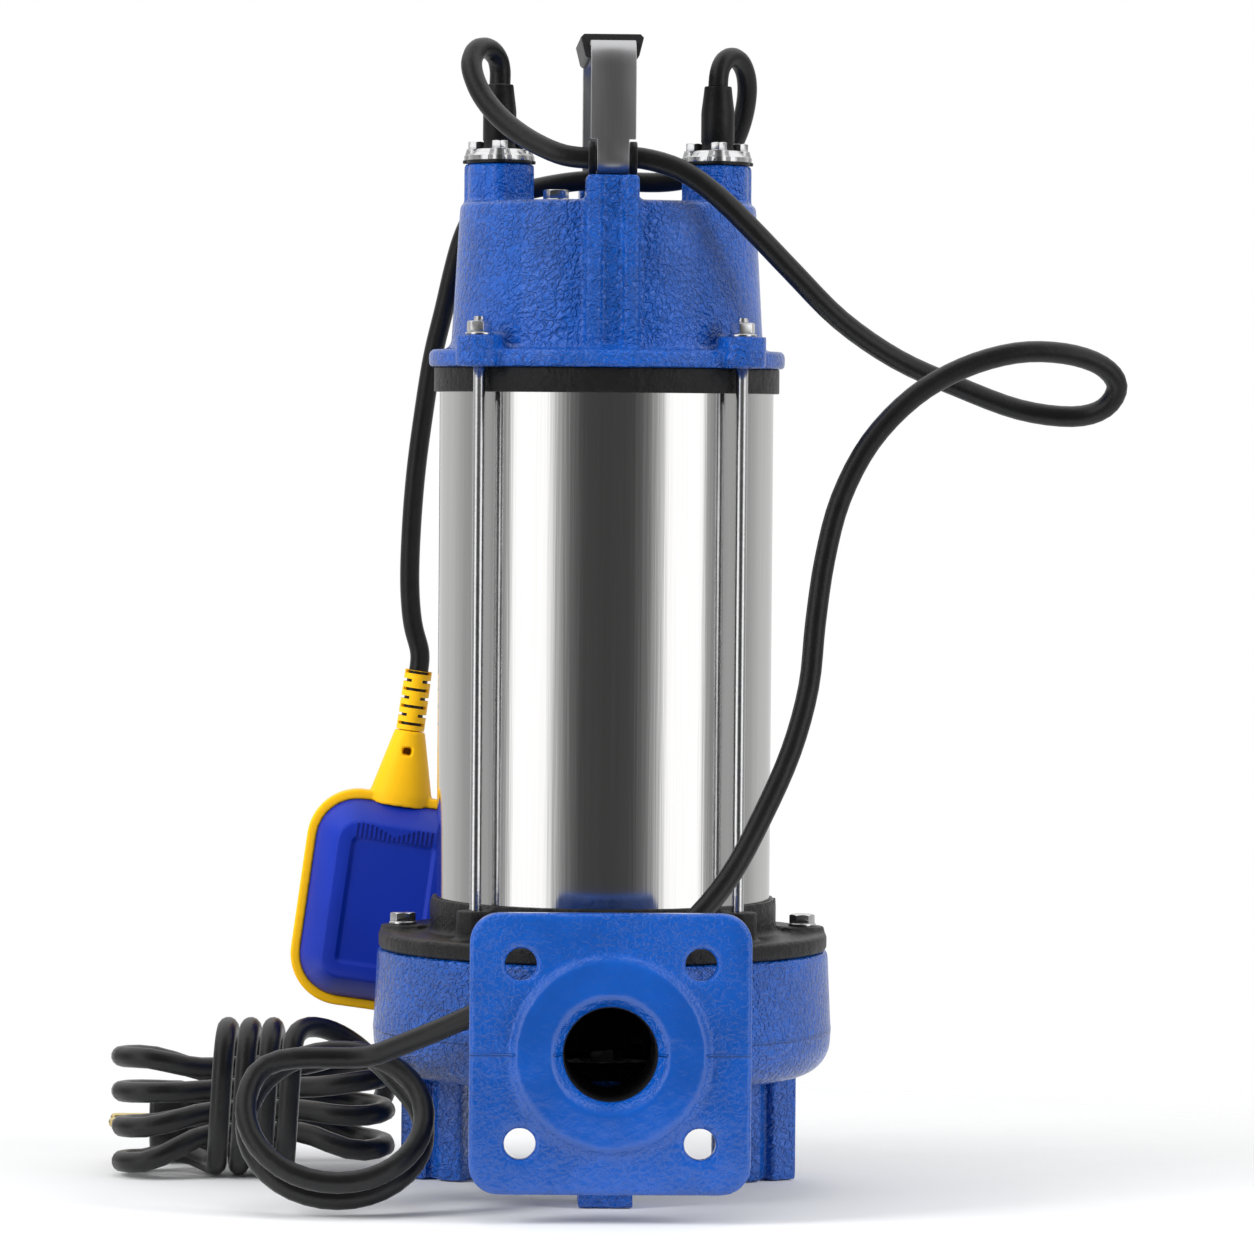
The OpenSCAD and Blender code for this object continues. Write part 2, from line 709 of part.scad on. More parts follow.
module tie_rod_nuts() {
    color([0.80, 0.80, 0.80]) around(rod_angles, rod_circle_d / 2) difference() {
        hexagon(hex_af, cap_boss_top + washer_t, cap_boss_top + washer_t + nut_h);
        barrel(rod_r + fit, cap_boss_top, cap_boss_top + washer_t + nut_h + 1);
    }
}

module capacitor() {
    color([0.75, 0.75, 0.72]) translate([24, 22, 0]) {
        barrel(18, cap_z, cap_z + 55);
        barrel(12, cap_z + 54, cap_z + 58);
    }
}

module capacitor_clamp() {
    color([0.60, 0.61, 0.62]) difference() {
        translate([24, 22, 0]) barrel(19.5, cap_z + 12, cap_z + 24);
        translate([24, 22, 0]) barrel(18 + fit, cap_z + 11, cap_z + 25);
    }
    color([0.60, 0.61, 0.62]) translate([24 - 3, 22 - 24, cap_z]) cube([6, 5, 24]);
}

module terminal_block() {
    color([0.85, 0.85, 0.82]) difference() {
        translate([-44, -20, cap_z]) cube([30, 40, 16]);
        for (y = [-13.5, -4.5, 4.5, 13.5]) translate([-29, y, 0]) barrel(2.5, cap_z + 8, cap_z + 17);
    }
}

// ---------------------------------------------------------------- cap and glands

module gland_outline(grow) {
    circle(r = gland_core_r + grow);
    for (a = [-90, 30, 150]) rotate(a) translate([gland_lobe_r, 0]) circle(r = gland_lobe + grow);
}

module at_glands() {
    for (s = [-1, 1]) translate([s * gland_x, 0, 0]) children();
}

module rib(side) {
    difference() {
        union() {
            translate([-rib_w / 2, -rib_reach, cap_body_z - 1])
                cube([rib_w, rib_reach - cap_top_d / 2 + 6, rib_top - cap_body_z + 1]);
            translate([-rib_w / 2, -rib_reach, cap_top - 1]) cube([rib_w, ear_len + 8, rib_rise + 1]);
        }
        translate([-rib_channel_w / 2, -rib_reach - 1, cap_body_z + 8])
            cube([rib_channel_w, rib_channel_d + 1, cap_h + rib_rise - 16]);
        translate([0, -handle_screw_y, 0]) barrel(2.5, rib_top - 9, rib_top + 1);
    }
}

module cap_shell() {
    cavity_low = cap_low_d / 2 - cap_wall;
    cavity_top = cap_top_d / 2 - cap_wall;
    difference() {
        rotate_extrude($fn = 96) polygon(concat([[0, cap_z], [cap_flange_d / 2 - 1, cap_z],
            [cap_flange_d / 2, cap_z + 1], [cap_flange_d / 2, cap_body_z - 1.5],
            [cap_flange_d / 2 - 1.5, cap_body_z], [cap_low_d / 2 + 2, cap_body_z],
            [cap_low_d / 2, cap_body_z + 3]],
            arc([cap_top_d / 2 - 3, cap_top - 3], 3, 3, 90, 6), [[0, cap_top]]));
        translate([0, 0, cap_z - 1])
            cylinder(r1 = cavity_low, r2 = cavity_top, h = cap_top - cap_wall - cap_z + 1, $fn = 96);
    }
}

module motor_cap() {
    color([0.10, 0.31, 0.72]) difference() {
        union() {
            cap_shell();
            around(rod_angles, rod_circle_d / 2) barrel(cap_boss_d / 2, cap_z, cap_boss_top);
            rib();
            rotate([0, 0, 180]) rib();
            at_glands() translate([0, 0, cap_top - 1]) linear_extrude(gland_boss_h + 1) gland_outline(0);
        }
        barrel(bracket_d / 2 - 1.4, cap_z - 1, cap_z + 1);
        around(rod_angles, rod_circle_d / 2) barrel(rod_r + slip, cap_z - 1, cap_boss_top + 1);
        at_glands() barrel(boot_d / 2 + slip, cap_top - cap_wall - 1, gland_z + 1);
        at_glands() around([-90, 30, 150], gland_lobe_r) barrel(gland_screw_d / 2, gland_z - 12, gland_z + 1);
        translate([-24, -24, 0]) barrel(bolt_r, cap_top - cap_wall - 1, cap_top + 1);
    }
}

module air_plug() {
    color([0.80, 0.80, 0.80]) translate([-24, -24, cap_top]) {
        barrel(6, 0, 1.2);
        translate([0, 0, 1.2]) hex_bolt(hex_af, head_h, bolt_r - fit, cap_wall);
    }
}

module gland_gaskets() {
    color([0.05, 0.05, 0.05]) at_glands() difference() {
        translate([0, 0, gland_z]) linear_extrude(gland_gasket_t) gland_outline(0.6);
        barrel(boot_d / 2 + slip, gland_z - 1, gland_plate_z + 1);
        around([-90, 30, 150], gland_lobe_r) barrel(gland_screw_d / 2 + slip, gland_z - 1, gland_plate_z + 1);
    }
}

module gland_plates() {
    color([0.85, 0.85, 0.86]) at_glands() difference() {
        union() {
            translate([0, 0, gland_plate_z]) linear_extrude(gland_plate_t) gland_outline(0);
            translate([0, 0, gland_plate_z + gland_plate_t - eps])
                cylinder(r1 = gland_core_r - 0.4, r2 = gland_core_r - 4, h = gland_dome_h + eps);
            around([-90, 30, 150], gland_lobe_r) translate([0, 0, gland_plate_z + gland_plate_t - eps])
                cylinder(r1 = gland_lobe - 0.3, r2 = gland_lobe - 1.1, h = gland_dome_h + eps);
        }
        barrel(boot_d / 2 + slip, gland_plate_z - 1, gland_top + 1);
        around([-90, 30, 150], gland_lobe_r) barrel(gland_screw_d / 2 + slip, gland_plate_z - 1, gland_top + 1);
    }
}

module gland_screws() {
    color([0.80, 0.80, 0.80]) at_glands() around([-90, 30, 150], gland_lobe_r)
        translate([0, 0, gland_top]) hex_bolt(gland_screw_af, 3.5, gland_screw_d / 2 - fit, 17);
}

module boot() {
    rotate_extrude() polygon([[0, cap_top - cap_wall], [boot_d / 2, cap_top - cap_wall],
        [boot_d / 2, gland_z + boot_straight], [boot_tip_d / 2 + 0.3, boot_top - 1.5],
        [boot_tip_d / 2, boot_top], [0, boot_top]]);
}

module power_boot() color([0.06, 0.06, 0.06]) translate([-gland_x, 0, 0]) boot();
module float_boot() color([0.06, 0.06, 0.06]) translate([gland_x, 0, 0]) boot();

// ---------------------------------------------------------------- handle

module strap_profile() {
    outer = strap_bend;
    inner = strap_bend - strap_t;
    corner = [strap_reach - outer, strap_top - outer];
    foot_z = rib_top;
    polygon(concat([[-strap_reach, curl_z]],
        arc([-corner[0], corner[1]], outer, 180, 90, 8), arc(corner, outer, 90, 0, 8),
        [[strap_reach, foot_z], [handle_screw_y - 9, foot_z], [handle_screw_y - 9, foot_z + strap_t],
        [strap_reach - strap_t, foot_z + strap_t]],
        arc(corner, inner, 0, 90, 8), arc([-corner[0], corner[1]], inner, 90, 180, 8),
        [[-strap_reach + strap_t, curl_z]]));
}

module handle_strap() {
    shoulder = curl_z + curl_r + 0.6;
    color([0.75, 0.75, 0.76]) difference() {
        union() {
            difference() {
                rotate([90, 0, 90]) translate([0, 0, -strap_w / 2]) linear_extrude(strap_w) strap_profile();
                for (s = [-1, 1]) translate([s * (tongue_w / 2 + 10) - 10, -strap_reach - 1, curl_z - 1])
                    cube([20, 10, shoulder - curl_z + 1]);
            }
            intersection() {
                translate([0, curl_y, curl_z]) rotate([0, 90, 0]) ring(curl_r, curl_r - strap_t, -tongue_w / 2, tongue_w / 2);
                union() {
                    translate([-20, curl_y - 20, curl_z - 20]) cube([40, 20, 20]);
                    translate([-20, curl_y, curl_z - 20]) cube([40, 20, 32]);
                }
            }
            translate([-tongue_w / 2, curl_y, rib_top]) cube([tongue_w, ear_len, strap_t]);
        }
        translate([0, -handle_screw_y, 0]) barrel(2.75, rib_top - 1, rib_top + strap_t + 1);
        translate([0, handle_screw_y, 0]) barrel(2.75, rib_top - 1, rib_top + strap_t + 1);
    }
}

module handle_screws() {
    color([0.80, 0.80, 0.80]) for (s = [-1, 1])
        translate([0, s * handle_screw_y, rib_top + strap_t]) hex_bolt(8, 3, 2.5 - fit, 9);
}

module handle_grip() {
    low = strap_top + 3.5 - grip_h;
    color([0.07, 0.07, 0.07]) rotate([90, 0, 0]) translate([0, 0, -grip_len / 2]) linear_extrude(grip_len)
        difference() {
            polygon([[-grip_w / 2 + 1.5, strap_top + 3.5], [-grip_w / 2, strap_top + 2],
                [-grip_low_w / 2, low + 1], [-grip_low_w / 2 + 1, low], [grip_low_w / 2 - 1, low],
                [grip_low_w / 2, low + 1], [grip_w / 2, strap_top + 2], [grip_w / 2 - 1.5, strap_top + 3.5]]);
            translate([-strap_w / 2 - 0.1, strap_top - strap_t - 0.05]) square([strap_w + 0.2, strap_t + 0.1]);
            translate([-strap_w / 2 + 1, low - 1]) square([strap_w - 2, strap_top - strap_t - low + 1.5]);
        }
}

module cable_grommet() {
    color([0.05, 0.05, 0.05]) translate([0, curl_y, curl_z]) rotate([0, 90, 0]) difference() {
        union() {
            barrel(sleeve_r, -grommet_len / 2, grommet_len / 2);
            for (s = [-1, 1]) translate([0, 0, s * (grommet_len - grommet_flange_t) / 2])
                barrel(grommet_flange_r, -grommet_flange_t / 2, grommet_flange_t / 2);
        }
        barrel(power_cable_d / 2 + 0.05, -grommet_len, grommet_len);
    }
}

// ---------------------------------------------------------------- cables

module power_cable() color([0.07, 0.07, 0.07]) sweep(power_route, power_cable_d / 2, 10);
module float_cable() color([0.07, 0.07, 0.07]) sweep(float_route, float_cable_d / 2, 8);

// The pile of power cable, as plain blocks joined by the stretches between them
module loops_block() {
    r = power_cable_d / 2;
    intersection() {
        translate(loops_at) rotate([90 - loop_lean, 0, 0])
            ring(loop_r + r, loop_r - r, -loops_t / 2 - r, loops_t / 2 + r);
        translate(loops_at + [-2 * loop_r, -2 * loop_r, -loops_at[2]]) cube(4 * loop_r);
    }
}

module hank_block() {
    r = power_cable_d / 2;
    translate(hank_at) linear_extrude(hank_top + r) hull()
        for (s = [-1, 1]) translate([s * lobe_x, 0]) circle(r = lobe_r + r);
    translate([wraps_x[0] - r, hank_at[1], wraps_r + r]) rotate([90, 0, 90])
        linear_extrude(wraps_x[1] - wraps_x[0] + 2 * r) hull()
            for (y = [0, wraps_rise]) translate([0, y]) circle(r = wraps_r + r);
}

module power_cable_coil() {
    r = power_cable_d / 2;
    start = power_route[len(power_route) - 1];
    out = unit(start - power_route[len(power_route) - 2]);
    loops_top = loops_at + loop_r * [0, sin(loop_lean), cos(loop_lean)];
    color([0.07, 0.07, 0.07]) {
        sweep([start, start + 2 * r * out, loops_top], r, 10);
        loops_block();
        sweep([loops_top, loops_top + [-3, 40, -10], [hank_at[0] + lobe_x - 4, hank_at[1], hank_top - r]], r, 10);
        hank_block();
        sweep([[wraps_x[1], hank_at[1] + wraps_r, wraps_r + r], [wraps_x[1] + 16, hank_at[1] + wraps_r + 8, wraps_r],
            plug_tail + [26, -12, 0], plug_tail + [22, -3, 0], plug_tail + [11, 0, 0], plug_tail], r, 10);
    }
}

module plug_body() {
    color([0.06, 0.06, 0.06]) translate(plug_tail) rotate([0, -90, 0]) rotate_extrude()
        polygon([[0, 0], [6, 0], [7.5, 24], [13, 30], [18, 38], [plug_r, plug_shoulder],
            [plug_r, plug_len - 2], [plug_r - 1.2, plug_len], [0, plug_len]]);
}

module plug_pins() {
    color([0.80, 0.78, 0.72]) for (side = [-1, 1])
        translate(plug_tail + [-plug_len, side * pin_pitch / 2, 0]) rotate([0, -90, 0])
            rotate_extrude($fn = 32) polygon([[0, 0], [pin_d / 2, 0], [pin_d / 2, pin_len - 2],
                [pin_d / 4, pin_len], [0, pin_len]]);
}

// ---------------------------------------------------------------- rotor

module shaft() {
    color([0.75, 0.76, 0.77]) difference() {
        rotate_extrude() polygon([[0, impeller_z - nut_reach], [5, impeller_z - nut_reach], [5, impeller_z + 1],
            [shaft_impeller_d / 2, impeller_z + 1], [shaft_impeller_d / 2, hub_top],
            [shaft_seal_d / 2, hub_top], [shaft_seal_d / 2, oil_roof_z - 4],
            [shaft_low_d / 2, oil_roof_z - 4], [shaft_low_d / 2, lower_bearing_z + lower_bearing[2]],
            [shaft_core_d / 2, lower_bearing_z + lower_bearing[2]],
            [shaft_core_d / 2, upper_bearing_z], [shaft_top_d / 2, upper_bearing_z],
            [shaft_top_d / 2, upper_bearing_z + upper_bearing[2] - 0.5],
            [0, upper_bearing_z + upper_bearing[2] - 0.5]]);
        translate([shaft_impeller_d / 2 - 2.2, -key_w / 2, impeller_z + 6]) cube([4, key_w, 20]);
    }
}

module rotor_core() {
    color([0.50, 0.50, 0.52]) ring(rotor_r, shaft_core_d / 2 + fit, core_z, core_z + core_len);
}

module rotor_end_rings() {
    color([0.78, 0.79, 0.80]) for (z = [core_z - 8, core_z + core_len])
        ring(rotor_r - 2, shaft_core_d / 2 + 10, z, z + 8);
}

module seal_head() {
    color([0.10, 0.10, 0.10]) ring(14, shaft_seal_d / 2 + fit, oil_floor + 0.1, oil_floor + 7);
}

module seal_bellows() {
    color([0.08, 0.08, 0.08]) difference() {
        rotate_extrude() polygon([[8, oil_floor + 7], [13.5, oil_floor + 7], [13.5, oil_floor + 10],
            [12, oil_floor + 12], [14, oil_floor + 15], [12, oil_floor + 18], [14, oil_floor + 21],
            [12, oil_floor + 24], [13.5, oil_floor + 26], [13.5, oil_floor + 30], [8, oil_floor + 30]]);
        barrel(shaft_seal_d / 2 + fit, oil_floor, oil_floor + 40);
    }
}

// One vane, swept back along a spiral
function spiral(r0, r1, turn_deg, n) = [for (i = [0 : n]) let(r = r0 + (r1 - r0) * i / n,
    a = -turn_deg * i / n) r * [cos(a), sin(a)]];

module vane() {
    r0 = 12;
    r1 = impeller_d / 2 - 1;
    inner = spiral(r0, r1, 75, 12);
    outer = [for (i = [12 : -1 : 0]) inner[i] * rot2(vane_t / norm(inner[i]) * 57.3)];
    polygon(concat(inner, outer));
}

function rot2(a) = [[cos(a), sin(a)], [-sin(a), cos(a)]];

module impeller() {
    color([0.30, 0.30, 0.31]) difference() {
        union() {
            barrel(impeller_d / 2, impeller_z + vane_h, impeller_z + vane_h + shroud_t);
            barrel(14, impeller_z, hub_top);
            translate([0, 0, impeller_z]) linear_extrude(vane_h + 1)
                for (i = [0 : vane_count - 1]) rotate(360 * i / vane_count) vane();
        }
        barrel(shaft_impeller_d / 2 + fit, impeller_z - 1, hub_top + 1);
        translate([shaft_impeller_d / 2 - 2.2, -key_w / 2 - fit, impeller_z + 6 - fit])
            cube([4 + fit, key_w + 2 * fit, hub_top]);
    }
}

module impeller_key() {
    color([0.60, 0.60, 0.62]) translate([shaft_impeller_d / 2 - 2.2 + fit, -key_w / 2 + fit, impeller_z + 6 + fit])
        cube([4 - 2 * fit, key_w - 2 * fit, 20 - 2 * fit]);
}

module impeller_nut() {
    color([0.80, 0.80, 0.80]) difference() {
        union() {
            barrel(12, impeller_z - nut_washer_t, impeller_z);
            hexagon(17, impeller_z - nut_reach + 0.5, impeller_z - nut_washer_t + eps);
        }
        barrel(5 + fit, impeller_z - nut_reach - 1, impeller_z + 1);
    }
}

// ---------------------------------------------------------------- float switch

module at_float() {
    translate(float_top) rotate([0, float_lean, 0]) children();
}

// The float's front outline, growing or shrinking by the given amount
module float_outline(grow) {
    rounded_square(float_w + 2 * grow, float_h + 2 * grow, float_corner + grow);
}

module float_slab(grow, depth0, depth1) {
    translate([0, -depth0, -neck_h - float_h / 2]) rotate([90, 0, 0])
        linear_extrude(depth1 - depth0) float_outline(grow, $fn = 32);
}

module float_half(grow) {
    hull() {
        float_slab(grow - 4.5, frame_t / 2 - 3, frame_t / 2);
        float_slab(grow - 15, float_t / 2 - 0.1 + grow, float_t / 2 + grow);
    }
}

module float_shell() {
    color([0.08, 0.12, 0.55]) difference() {
        float_half(0);
        float_half(-float_wall);
        translate([0, -float_t / 2 + 1.2, -neck_h - float_h / 2 - 7]) rotate([90, 0, 0])
            linear_extrude(4) rounded_square(float_w - 42, float_h - 48, 4);
        for (i = [-5 : 5]) translate([i * 3 - 0.6, -float_t / 2 - 1, -neck_h - 24.5]) cube([1.2, 1.8, 7]);
    }
}

module float_front_shell() at_float() float_shell();
module float_back_shell() at_float() mirror([0, 1, 0]) float_shell();

module float_frame() {
    color([0.98, 0.80, 0.02]) at_float() difference() {
        union() {
            float_slab(0, -frame_t / 2, frame_t / 2);
            hull() {
                translate([0, 0, -1]) cylinder(r = 7, h = 1, $fn = 32);
                translate([0, 0, -neck_h - 8]) scale([1, 0.72, 1]) cylinder(r = float_neck_w / 2, h = 8, $fn = 32);
            }
        }
        float_slab(-5.2, -float_t, float_t);
        for (s = [0, 1]) mirror([0, s, 0]) float_half(0.15);
        translate([0, 0, -neck_h - 20]) cylinder(r = 4, h = neck_h + 30);
    }
}

module float_strain_relief() {
    ribs = 6;
    step = relief_len / ribs;
    color([0.98, 0.78, 0.02]) at_float() rotate_extrude() polygon(concat([[0, 0]],
        [for (i = [0 : ribs - 1]) for (q = [[relief_d / 2, i * step], [relief_d / 2, (i + 0.6) * step],
            [relief_d / 2 - 1.3, (i + 0.6) * step], [relief_d / 2 - 1.3, (i + 1) * step]]) q],
        [[0, relief_len]]));
}

module float_switch() {
    guide_r = ball_d / 2 + 0.4;
    color([0.85, 0.85, 0.82]) at_float() difference() {
        union() {
            translate([0, 0, float_switch_z - ball_d - ball_travel - 4])
                cylinder(r = guide_r + 2, h = ball_d + ball_travel + 6);
            translate([-14, -8, float_switch_z]) cube([28, 16, float_switch_top - float_switch_z]);
        }
        translate([0, 0, float_switch_z - ball_d - ball_travel - 1])
            cylinder(r = guide_r, h = ball_d + ball_travel + 0.6);
    }
}

module float_ball() {
    color([0.75, 0.76, 0.78]) at_float() translate([0, 0, float_switch_z - ball_travel - ball_d / 2 - 0.7])
        sphere(r = ball_d / 2, $fn = 48);
}

// ---------------------------------------------------------------- the part

volute_casing();
casing_feet();
suction_cover();
suction_cover_screws();
casing_seal();
oil_chamber();
oil_plug();
casing_bolts();
washers();
seal_seat();
lip_seal();
lower_bearing_outer();
tube_seals();
motor_tube();
stator_core();
stator_windings();
thermal_protector();
upper_bearing_bracket();
upper_bearing_outer();
motor_cap();
cap_gasket();
tie_rods();
tie_rod_nuts();
capacitor();
capacitor_clamp();
terminal_block();
air_plug();
gland_gaskets();
gland_plates();
gland_screws();
power_boot();
float_boot();
handle_strap();
handle_grip();
handle_screws();
cable_grommet();
power_cable();
power_cable_coil();
plug_body();
plug_pins();
float_cable();
shaft();
rotor_core();
rotor_end_rings();
lower_bearing_inner();
upper_bearing_inner();
seal_head();
seal_bellows();
impeller();
impeller_key();
impeller_nut();
lower_bearing_balls();
upper_bearing_balls();
float_front_shell();
float_back_shell();
float_frame();
float_strain_relief();
float_switch();
float_ball();
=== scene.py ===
"""Looks of a submersible sump pump: castings, stainless tube, handle, glands, float and cables."""

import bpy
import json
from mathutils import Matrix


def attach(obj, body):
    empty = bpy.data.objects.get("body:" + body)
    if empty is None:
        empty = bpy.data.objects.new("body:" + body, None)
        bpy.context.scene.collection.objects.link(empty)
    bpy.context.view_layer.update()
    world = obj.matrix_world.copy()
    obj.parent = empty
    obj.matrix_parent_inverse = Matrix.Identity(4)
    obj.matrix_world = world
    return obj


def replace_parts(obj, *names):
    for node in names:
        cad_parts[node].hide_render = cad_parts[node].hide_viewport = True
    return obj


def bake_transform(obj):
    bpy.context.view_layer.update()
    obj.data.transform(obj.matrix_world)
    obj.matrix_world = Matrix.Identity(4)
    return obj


bl_info = {
    "name": "Sump Pump Looks",
    "version": (1, 0, 0),
    "blender": (4, 5, 0),
    "location": "View3D > Sidebar > Pump",
    "description": "Models and finishes the pieces of a submersible sump pump",
    "category": "Object",
}

import json
import math

import bpy
from bpy.props import FloatProperty, FloatVectorProperty, PointerProperty
from mathutils import Matrix, Vector

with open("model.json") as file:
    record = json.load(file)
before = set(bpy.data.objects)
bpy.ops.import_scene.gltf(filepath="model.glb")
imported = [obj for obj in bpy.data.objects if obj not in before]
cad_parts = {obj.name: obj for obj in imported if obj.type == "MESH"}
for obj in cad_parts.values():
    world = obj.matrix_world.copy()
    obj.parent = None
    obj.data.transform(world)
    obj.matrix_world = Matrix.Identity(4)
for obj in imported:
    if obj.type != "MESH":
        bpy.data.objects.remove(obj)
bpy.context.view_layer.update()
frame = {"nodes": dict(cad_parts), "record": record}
MM = 0.001
SLOT_OF = {part["node"]: part["material_slot"] for part in frame["record"]["subparts"]}

# Places in the frame, in millimetres
TUBE_Z = (120.0, 367.0)
TUBE_R = 75.0
BOLT_R = 90.0
BOLT_Z = 119.5
ROD_R = 82.0
ROD_Z = (113.0, 392.2)
NUT_Z = 384.0
WASHER_T = 1.2
GLAND_X = 49.0
GLAND_SCREW_R = 12.0
GLAND_TOP = 468.0
HANDLE_SCREW_Y = 50.0
HANDLE_SCREW_Z = 456.6
AIR_PLUG_AT = (-24.0, -24.0, 444.0)
RIB_Y, RIB_Z = 74.0, (379.0, 460.0)
CHANNEL_W, CHANNEL_DEPTH = 9.2, 2.7
PARTING_Z = 73.5
FLANGE_Y, PAD_Y = -131.5, -135.0
BORE_R = 20.0
FLOAT_TOP = (-87.4, 98.0, 201.7)
FLOAT_LEAN = 7.8
FLOAT_W, FLOAT_H, FLOAT_T = 81.0, 101.0, 41.5
FLOAT_NECK_H = 30.0
FLOAT_FRAME_T = 11.0
POWER_CORD_D = 9.5
FLOAT_CORD_D = 9.0

# Routes of the cords, in millimetres
POWER_ROUTE = [
    (-49, 0, 497), (-49, 0, 503.5), (-50.5, -2.5, 509), (-54.5, -8, 512.5), (-59.5, -15, 511.5),
    (-62, -21.5, 505.5), (-60.5, -27.5, 497.5), (-56, -34, 488.5), (-48, -42, 479),
    (-37, -51.5, 470.5), (-24, -60, 464), (-13, -62.6, 462), (0, -62.6, 462), (13, -62.6, 462),
    (30, -63, 457), (46, -63, 446), (62, -60, 431), (80, -54, 413), (102, -44, 392),
    (128, -33, 375), (156, -25, 363), (184, -20, 353), (208, -20, 350), (222, -24, 354),
    (227, -29, 364), (219, -35, 373), (202, -41, 378), (180, -46, 378), (156, -50, 371),
    (134, -54, 358), (115, -57, 338), (102, -59, 313), (95, -61, 286), (91, -63, 258),
    (88, -67, 230), (80, -75, 202), (67, -86, 174), (52, -99, 148), (34, -109, 128),
    (16, -113, 118), (0, -113.5, 112.8), (-18, -113.2, 107.3), (-38, -110, 99),
    (-58, -103, 88.5), (-75, -94, 80), (-92, -83, 72),
]
FLOAT_ROUTE = [
    (49, 0, 497), (49, 0, 503), (51, 2.5, 508.5), (55, 7, 511.5), (60, 13, 509), (63, 18.5, 501.5),
    (63, 23.5, 491), (60, 28.5, 478), (54, 32.5, 466.5), (43, 34.5, 458.5), (28, 34, 455),
    (10, 32, 455), (-8, 31, 455.5), (-24, 32.5, 453.5), (-38, 37, 450.5), (-49, 43.5, 449),
    (-58, 51, 443), (-64.5, 58, 431), (-69, 64, 415), (-73, 69, 397), (-78, 75, 376),
    (-82, 81, 350), (-85.5, 86, 322), (-87.5, 91, 294), (-88, 95, 268), (-86, 97.5, 248),
    (-82.4, 98, 238.4), (-83.6, 98, 229.5),
]

# Pile of power cord: two loose loops, a hank drawn in at its waist, and wraps round the waist
STEPS_PER_TURN = 36
LOOPS_AT = Vector((-119.0, -86.0, 39.7))
LOOP_W, LOOP_H = 39.0, 36.7
LOOP_LEAN = math.radians(40.0)
LOOP_STEP = 13.0
LOOP_TURNS = (0.175, 1.84)
HANK_AT = (-157.9, 47.3)
HANK_TURNS = 3.455
HANK_START = 0.64
LOBE_R, LOBE_STEP = 18.9, 16.0
WAIST_R, WAIST_HALF = 47.2, 4.2
WAIST_LIFT, WAIST_STEP = 16.7, 10.13
WAIST_FLAT, WAIST_FADE = 18.0, 35.0
WRAP_X, WRAP_R, WRAP_RISE, WRAP_STEP = -174.9, 20.5, 22.0, 10.33
WRAP_TURNS = (0.04, 3.4)
PLUG_TAIL = Vector((-143.0, 101.0, 19.0))
PLUG_LEN = 64.0
# How hard each bridge of the pile leaves and arrives
LOOPS_PULL = (52.0, 52.0)
HANK_PULL = (120.0, 74.0)
WRAPS_PULL = (41.0, 41.0)
TAIL_PULL = (119.0, 248.0)

THREAD_PITCH = 0.9

# Cable boots, in millimetres: (radius, height) pairs up to the edge at the cable
BOOT_TOP = 497.0
BOOT_PROFILE = [
    (0, 437.5), (7.3, 437.5), (7.5, 438), (7.5, 468.8), (7.15, 469.4), (7.15, 471.4), (7.5, 472),
    (7.5, 484.5), (7.35, 486.5), (6.9, 490), (6.35, 494.5), (6.2, 496.2), (5.9, 496.9),
]

# Details of the float, in millimetres
SHELL_CORNER_R = 19.5
SHELL_SETBACK = 9.0
GROOVE_PITCH, GROOVE_W, GROOVE_DEPTH = 2.15, 1.15, 1.5
GROOVE_TOP, GROOVE_LOW = -44.5, -57.5
GROOVE_DIP, GROOVE_DIP_W = 4.5, 11.0
RELIEF_ROWS, RELIEF_LEN, RELIEF_R = 7, 28.0, 6.55
SLOT_MIDDLE = 2.98

# Camera, lamps and floor
SENSOR_MM, LENS_MM = 36.0, 186.6
CAMERA_AT = (-0.08677, -2.92371, 0.350)
CAMERA_TURN = (88.1157, -0.4498, -1.8798)
LAMPS = [
    ("key_light", (-1.7, -0.9, 1.1), (0, 0, 0.25), (0.8, 1.2), 35.0),
    ("fill_light", (1.7, -0.8, 0.9), (0, 0, 0.25), (0.8, 1.2), 25.0),
    ("top_light", (-0.2, -0.4, 1.9), (0, 0, 0.2), (1.2, 1.0), 7.0),
]
FLOOR_SIZE, FLOOR_DROP = 4.0, 0.0004
# Brightness that glossy surfaces see, from the front, 0, round to the back, 1
BAND_TONES = [
    (0.0, 0.05), (0.095, 0.06), (0.15, 0.16), (0.20, 0.5), (0.235, 1.25), (0.375, 1.3),
    (0.40, 0.38), (0.45, 0.22), (0.50, 0.4), (0.62, 0.34), (0.74, 0.55), (0.85, 0.6), (1.0, 0.8),
]


# ---------------------------------------------------------------- modelling helpers


def pick(*objects):
    """Selects these objects alone and makes the last one active."""
    if bpy.context.mode != "OBJECT":
        bpy.ops.object.mode_set(mode="OBJECT")
    bpy.ops.object.select_all(action="DESELECT")
    for obj in objects:
        obj.select_set(True)
        bpy.context.view_layer.objects.active = obj


def edit(obj):
    """Opens an object in edit mode with all of it selected."""
    pick(obj)
    bpy.ops.object.mode_set(mode="EDIT")
    bpy.ops.mesh.select_all(action="SELECT")


def close():
    bpy.ops.object.mode_set(mode="OBJECT")


def modify(obj, kind, **settings):
    """Adds a modifier with these settings and applies it."""
    pick(obj)
    modifier = obj.modifiers.new(kind.title(), kind)
    for name, value in settings.items():
        setattr(modifier, name, value)
    bpy.ops.object.modifier_apply(modifier=modifier.name)


def smooth(obj, degrees=30.0):
    pick(obj)
    bpy.ops.object.shade_smooth_by_angle(angle=math.radians(degrees))


def linked(name, mesh):
    obj = bpy.data.objects.new(name, mesh)
    bpy.context.scene.collection.objects.link(obj)
    return obj


